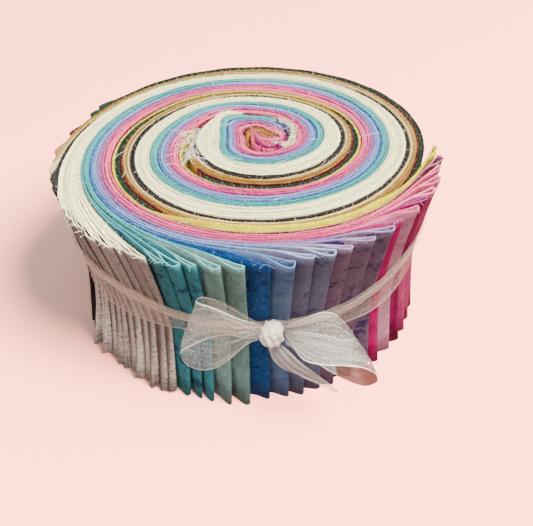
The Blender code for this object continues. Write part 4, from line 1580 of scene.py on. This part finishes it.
@dataclass
class FrayedEdges:
    """Fibres and stray threads of the raw edges, made by Geometry Nodes."""

    roll: StripRoll
    seed: int = 11
    spacing: float = 3.2
    fibre_length: float = 0.9
    fibre_thickness: float = 0.07
    first_half: int = 14
    top_threads: int = 26
    core_threads: int = 40
    step_threads: int = 60
    threaded: int = 31
    end_threads: int = 3

    def build(self) -> None:
        """Make the fibres along the upper edges and the long loose threads."""
        finish = LooseThread().make("cotton")
        tree = ThreadTree.fibres()
        halves = (self.roll.edge_lines[:self.first_half],
                  self.roll.edge_lines[self.first_half:])
        for number, part in enumerate(halves, 1):
            lines = [points for points, _ in part]
            tints = [self.pale(COTTONS[colour].edge) for _, colour in part]
            carrier = line_object(f"edge_lines_{number}", lines, tints)
            piece = grow(f"edge_fibres_{number}", carrier, tree, {
                "Spacing": self.spacing * MM, "Length": self.fibre_length * MM,
                "Thickness": self.fibre_thickness * MM, "Spread": 0.2 * MM,
                "Seed": self.seed + number, "Finish": finish})
            claim(piece, "roll")
        lines, tints = self.thread_lines()
        carrier = line_object("thread_lines", lines, tints)
        piece = grow("stray_threads", carrier, ThreadTree.threads(), {
            "Thickness": 0.13 * MM, "Curl": 0.5 * MM, "Seed": self.seed, "Finish": finish})
        claim(piece, "roll")

    @staticmethod
    def pale(colour: Colour) -> Colour:
        """Colour of the fibres of an edge, paler than the cloth."""
        lift = min(110.0, 50.0 + max(colour))
        return tuple(lift + channel * 0.57 for channel in colour)

    def thread_lines(self) -> tuple[list[np.ndarray], list[Colour]]:
        """Routes of the loose threads: on top, at the core, at the dark step and off the folds.

        Returns:
            Points of every thread in millimetres, and its colour.
        """
        chance = np.random.default_rng(self.seed)
        lines, tints = [], []

        def lay(x: float, y: float, height: float, heading: float, length: float, rise: float,
                tint: Colour) -> None:
            """Lay one thread.

            Args:
                x: Where it starts.
                y: Where it starts.
                height: Where it starts.
                heading: Direction in radians.
                length: Its length.
                rise: How steeply it first goes up.
                tint: Its colour, 0 to 255.
            """
            count = 8
            turn = chance.uniform(-0.9, 0.9)
            place, points = np.array([x, y, height]), []
            for step in range(count):
                points.append(place.copy())
                bend = heading + turn * step / count
                share = step / (count - 1)
                place = place + np.array([math.cos(bend), math.sin(bend),
                                          rise * (1.0 - 2.2 * share)]) * length / count
            lines.append(np.array(points))
            tints.append(tint)

        for _ in range(self.top_threads):
            radius, angle = chance.uniform(12.0, 61.0), chance.uniform(-math.pi, math.pi)
            lay(radius * math.cos(angle), radius * math.sin(angle),
                STRIP_WIDTH + chance.uniform(0.0, 0.5), chance.uniform(0.0, 6.28),
                chance.uniform(3.0, 9.0), chance.uniform(0.0, 0.25),
                (244, 238, 226) if chance.random() < 0.7 else (225, 205, 215))
        for _ in range(self.core_threads):
            lay(chance.uniform(7.0, 15.0), chance.uniform(-1.5, 17.0),
                STRIP_WIDTH + chance.uniform(-0.5, 0.3), chance.uniform(0.0, 6.28),
                chance.uniform(1.2, 3.2), chance.uniform(0.0, 0.3), (240, 228, 222))
        for _ in range(self.step_threads):
            angle = math.radians(chance.uniform(148.0, 204.0))
            radius = chance.uniform(19.8, 25.0)
            lay(radius * math.cos(angle), radius * math.sin(angle),
                STRIP_WIDTH + chance.uniform(-0.6, 0.8), angle + chance.uniform(0.6, 2.6),
                chance.uniform(4.0, 12.0), chance.uniform(0.0, 0.4), (246, 240, 226))
        for end in self.roll.winding.ends[:self.threaded]:
            for _ in range(self.end_threads):
                angle = math.radians(end.tip - chance.uniform(0.0, 4.0))
                radius = float(read_round(GIRTH, 1, np.array([end.tip]))[0]) - 0.6
                colour = COTTONS[end.colour].edge
                lay(radius * math.cos(angle), radius * math.sin(angle),
                    STRIP_WIDTH - 0.2, angle + chance.uniform(-1.2, 1.6),
                    chance.uniform(1.2, 3.6), chance.uniform(0.1, 0.7), self.pale(colour))
        return lines, tints


@dataclass
class WaistRibbon:
    """The ribbon round the waist, bunched in lengthwise pleats, with its upper part folded over."""

    winding: Winding
    finish: bpy.types.Material
    columns: int = 240
    rows: int = 34
    stand: float = 0.3
    layer: float = 0.28

    def build(self) -> None:
        """Make the ribbon as one sheet that goes once round."""
        angle = np.linspace(KNOT_ANGLE, KNOT_ANGLE + FULL_TURN, self.columns)
        low, high, folded = (read_round(BAND, column, angle) for column in (1, 2, 3))
        near = np.minimum(angle - angle[0], angle[-1] - angle)
        pinch = 1.0 - 0.35 * (1.0 - ease(near, 0.0, 9.0))
        centre = KNOT_HEIGHT + ((low + high) / 2.0 - KNOT_HEIGHT) * ease(near, 0.0, 6.0)
        half = (high - low) / 2.0 * pinch
        low, high = centre - half, centre + half
        across = np.linspace(0.0, 1.0, self.rows)
        section = np.array(PLEATS).T
        lines = []
        for share in across:
            rise, fall, layer = (np.interp(share, section[0], column) for column in section[1:])
            height = low + (high - low) * (rise - folded * fall)
            wave = 0.16 * np.sin(19.0 * share + 0.05 * angle) + 0.1 * np.sin(
                41.0 * share + 0.11 * angle + 1.0)
            radius = self.girth(angle, height) + self.stand + layer * self.layer + wave
            lines.append(round_line(radius, angle, height))
        points = np.array(lines)
        along = lengths(points[0])
        piece = ribbon_mesh("waist_ribbon", points, along, across * RIBBON_WIDTH, self.finish)
        claim(piece, "ribbon", "ribbon_band")

    def girth(self, angle: np.ndarray, height: np.ndarray) -> np.ndarray:
        """Radius of the outside of the folds, bridged as a taut ribbon lies on it.

        Args:
            angle: Angles in degrees.
            height: Height at every angle.

        Returns:
            Radii in millimetres.
        """
        return profile([self.winding.outside(name, angle) for name in ("rim", "waist", "foot")],
                       height)


def ribbon_mesh(name: str, points: np.ndarray, along: np.ndarray, across: np.ndarray,
                material: bpy.types.Material) -> bpy.types.Object:
    """Make a thin ribbon sheet from a grid of points.

    Args:
        name: Name of the piece.
        points: Points by place across and along, in millimetres.
        along: Distance along at every column.
        across: Distance across at every row.
        material: Finish.

    Returns:
        The piece.
    """
    rows, columns = points.shape[:2]
    grid = np.arange(rows * columns).reshape(rows, columns)
    faces = np.stack([grid[:-1, :-1].ravel(), grid[:-1, 1:].ravel(), grid[1:, 1:].ravel(),
                      grid[1:, :-1].ravel()], -1)
    width = np.broadcast_to(across[:, None], (rows, columns))
    length = np.broadcast_to(along[None, :], (rows, columns))
    uvs = np.stack([length.ravel(), width.ravel()], -1) * MM
    return mesh_object(name, points.reshape(-1, 3) * MM, faces, uvs, material)


@dataclass
class Bow:
    """The knot, the two loops and the free end."""

    finish: bpy.types.Material
    end_finish: bpy.types.Material
    knot_finish: bpy.types.Material
    knot_centre: tuple[float, float, float] = (4.1, -67.4, 36.0)
    knot_half: tuple[float, float, float] = (3.6, 3.8, 4.0)
    rows: int = 41
    station: float = 0.7

    def build(self) -> None:
        """Make every piece of the bow."""
        self.loop("bow_left", "bow_loop_left", LEFT_LOOP, 0.7, 1.7, 5.0)
        self.loop("bow_right", "bow_loop_right", RIGHT_LOOP, 0.6, 0.6, 4.0)
        self.loop("bow_end", "bow_tail", TAIL, 0.5, 2.9, 3.0)
        self.knot()

    def loop(self, name: str, node: str, table: Sequence[Sequence[float]], depth: float,
             phase: float, pleats: float) -> None:
        """Loft a length of ribbon between its two edges, gathered where it meets the knot.

        Args:
            name: Name of the piece.
            node: CAD node it stands for.
            table: Upper and lower edge by row.
            depth: Depth of the gathers in millimetres.
            phase: Where the gathers begin.
            pleats: How many there are across.
        """
        given = np.array(table, float)
        centre = (given[:, :3] + given[:, 3:]) / 2.0
        places = lengths(centre)
        at = np.linspace(0.0, places[-1], int(places[-1] / self.station) + 2)
        edges = curve_through(places, given, at)
        upper, lower = edges[:, :3], edges[:, 3:]
        span = np.linalg.norm(upper - lower, axis=1)
        across = np.linspace(0.0, 1.0, self.rows)
        points = lower[None] + (upper - lower)[None] * across[:, None, None]
        normal = unit(np.cross(np.gradient(points, axis=1), np.gradient(points, axis=0)))
        slack = np.clip(1.0 - span / RIBBON_WIDTH, 0.05, 1.0)
        shape = np.sin(2.0 * math.pi * pleats * across[:, None] + phase
                       + 0.5 * np.sin(at[None] * 0.12 + phase))
        shape = shape + 0.4 * np.sin(2.0 * math.pi * pleats * 1.7 * across[:, None] + 1.3 * phase
                                     + at[None] * 0.05)
        hold = np.sin(math.pi * across)[:, None] ** 0.5
        soft = 0.35 * np.sin(at[None] * 0.21 + 5.0 * across[:, None] + phase) * hold
        points = points + normal * ((depth * slack[None] ** 1.5 * shape * hold + soft)[..., None])
        points = points + normal * (0.5 * hold * np.sin(math.pi * at / at[-1])[None])[..., None]
        finish = self.end_finish if name == "bow_end" else self.finish
        piece = ribbon_mesh(name, points, at, across * RIBBON_WIDTH, finish)
        # Painted shade at the right loop's turned-over end, carried by the turned attribute.
        if name == "bow_right":
            row = np.interp(at, places, np.arange(len(given)))
            turned = (1.0 - ease(across, 0.3, 0.45))[:, None] * np.exp(-((row - 7.9) / 1.5) ** 6)
            set_number(piece, "turned", turned.ravel())
        claim(piece, "ribbon", node)

    def knot(self) -> None:
        """Make the knot, a lump of drawn-up ribbon with pleats over its front."""
        shell = bmesh.new()
        bmesh.ops.create_uvsphere(shell, u_segments=64, v_segments=40, radius=1.0)
        for corner in shell.verts:
            x, y, z = corner.co
            pleat = 0.15 * (0.55 - abs(math.sin(5.2 * x + 1.5 * math.sin(2.2 * z) + 1.4 * y)))
            broad = noise.noise(Vector((x * 2.1, y * 1.6, z * 2.4 + 7.7)))
            fine = noise.noise(Vector((x * 4.6, y * 3.2, z * 3.9)))
            crease = 0.085 * (0.6 - 2.0 * abs(broad)) + 0.05 * (0.6 - 2.0 * abs(fine))
            waist = -0.14 * math.exp(-((z - 0.15) / 0.22) ** 2) * (0.6 + 0.4 * x)
            lump = 0.16 * math.exp(-((x - 0.55) ** 2 + (z - 0.65) ** 2) / 0.16)
            lump += 0.14 * math.exp(-((x + 0.45) ** 2 + (z + 0.55) ** 2) / 0.2)
            swell = 1.0 + pleat + crease + waist + lump
            corner.co = Vector((x * self.knot_half[0] * swell, y * self.knot_half[1] * swell,
                                z * self.knot_half[2] * swell)) * MM
            corner.co += Vector(self.knot_centre) * MM
        bmesh.ops.recalc_face_normals(shell, faces=shell.faces)
        mesh = bpy.data.meshes.new("bow_knot")
        shell.to_mesh(mesh)
        shell.free()
        mesh.shade_smooth()
        layer = mesh.uv_layers.new(name="cloth")
        for face in mesh.loops:
            point = mesh.vertices[face.vertex_index].co
            aside = (point.x - self.knot_centre[0] * MM) * 1.2
            layer.data[face.index].uv = (point.z * 1.3, RIBBON_WIDTH / 2 * MM + aside)
        mesh.materials.append(self.knot_finish)
        claim(add_object("bow_knot", mesh), "ribbon", "ribbon_knot")


# Lamps: name, where it stands, height that it faces, width in metres, power in watts, colour, and
# whether it lights the floor instead of the roll.
LAMPS = (
    ("overhead_light", (0.12, 0.02, 1.1), 0.03, 0.9, 58.0, (255, 252, 249), False),
    ("side_light", (0.75, -0.75, 0.62), 0.03, 0.5, 7.0, (255, 249, 243), False),
    ("front_light", (-0.55, -0.62, 0.78), 0.03, 0.5, 5.0, (255, 244, 240), False),
    ("floor_light", (1.19, -0.77, 1.69), 0.0, 1.06, 490.0, (255, 222, 214), True),
    ("floor_fill", (0.0, 0.0, 1.3), 0.0, 4.0, 74.0, (192, 248, 255), True),
)


@dataclass
class Studio:
    """Pale sweep, soft lights and the camera."""

    camera_place: tuple[float, float, float] = (0.0, -0.217, 0.185)
    yaw: float = 1.0
    pitch: float = 39.1
    roll: float = -0.6
    lens: float = 47.35
    sensor: float = 36.0
    room_colour: Colour = (255, 248, 245)
    room_strength: float = 0.32
    floor_half: float = 3.0

    def build(self) -> None:
        """Set up the floor, the lights and the camera."""
        floor = self.floor()
        model = [piece for piece in bpy.context.scene.objects
                 if piece.type == "MESH" and piece is not floor]
        for name, place, height, size, power, colour, on_floor in LAMPS:
            self.light(name, place, height, size, power, colour, [floor] if on_floor else model)
        self.surroundings()
        self.camera()

    def floor(self) -> bpy.types.Object:
        """Lay the floor and return it."""
        shell = bmesh.new()
        bmesh.ops.create_grid(shell, x_segments=8, y_segments=8, size=self.floor_half)
        mesh = bpy.data.meshes.new("floor")
        shell.to_mesh(mesh)
        shell.free()
        mesh.materials.append(PaleFloor().make("sweep"))
        floor = add_object("floor", mesh)
        floor.visible_diffuse = False
        return floor

    def light(self, name: str, place: Sequence[float], height: float, size: float, power: float,
              colour: Colour, lit: Sequence[bpy.types.Object]) -> None:
        """Add a soft lamp that faces the middle of the roll and lights only some objects.

        Args:
            name: Name of the lamp.
            place: Where it stands.
            height: Height that it faces.
            size: Width of its face in metres.
            power: Power in watts.
            colour: Its colour, 0 to 255.
            lit: What it lights.
        """
        lamp = bpy.data.lights.new(name, "AREA")
        lamp.shape = "DISK"
        lamp.size = size
        lamp.energy = power
        lamp.color = linear(colour)[:3]
        holder = add_object(name, lamp)
        holder.location = place
        ahead = Vector((0.0, 0.0, height)) - Vector(place)
        holder.rotation_euler = ahead.to_track_quat("-Z", "Y").to_euler()
        group = bpy.data.collections.new(name + "_reach")
        for piece in lit:
            group.objects.link(piece)
        holder.light_linking.receiver_collection = group

    def surroundings(self) -> None:
        """Give the room its even light."""
        world = bpy.data.worlds.new("room")
        world.use_nodes = True
        back = world.node_tree.nodes["Background"]
        back.inputs["Color"].default_value = linear(self.room_colour)
        back.inputs["Strength"].default_value = self.room_strength
        bpy.context.scene.world = world

    def camera(self) -> None:
        """Place the camera where the photo was taken from."""
        yaw, pitch, roll = (math.radians(value) for value in (self.yaw, self.pitch, self.roll))
        flat_ahead = Vector((math.sin(yaw), math.cos(yaw), 0.0))
        right = Vector((math.cos(yaw), -math.sin(yaw), 0.0))
        ahead = flat_ahead * math.cos(pitch) + Vector((0.0, 0.0, -math.sin(pitch)))
        up = flat_ahead * math.sin(pitch) + Vector((0.0, 0.0, math.cos(pitch)))
        side = right * math.cos(roll) + up * math.sin(roll)
        over = -right * math.sin(roll) + up * math.cos(roll)
        data = bpy.data.cameras.new("photo_camera")
        data.lens = self.lens
        data.sensor_width = self.sensor
        data.clip_start = 0.01
        holder = add_object("photo_camera", data)
        placed = Matrix((side, over, -ahead)).transposed().to_4x4()
        placed.translation = Vector(self.camera_place)
        holder.matrix_world = placed
        bpy.context.scene.camera = holder


def main() -> None:
    """Build the roll, its loose threads, the ribbon and the studio."""
    logging.basicConfig(level=logging.INFO)
    roll = StripRoll(Winding())
    roll.build()
    LOG.info("strips: %d pieces", len(roll.pieces))
    FrayedEdges(roll).build()
    LOG.info("frayed edges and stray threads")
    WaistRibbon(roll.winding, Organza(ground=0.08, selvedge=0.45).make("band")).build()
    LOG.info("ribbon round the waist")
    Bow(Organza().make("ribbon"), Organza(ground=0.2).make("end"),
        Organza((255, 250, 228), 0.92).make("knot")).build()
    LOG.info("bow")
    Studio().build()


if __name__ == "__main__":
    main()
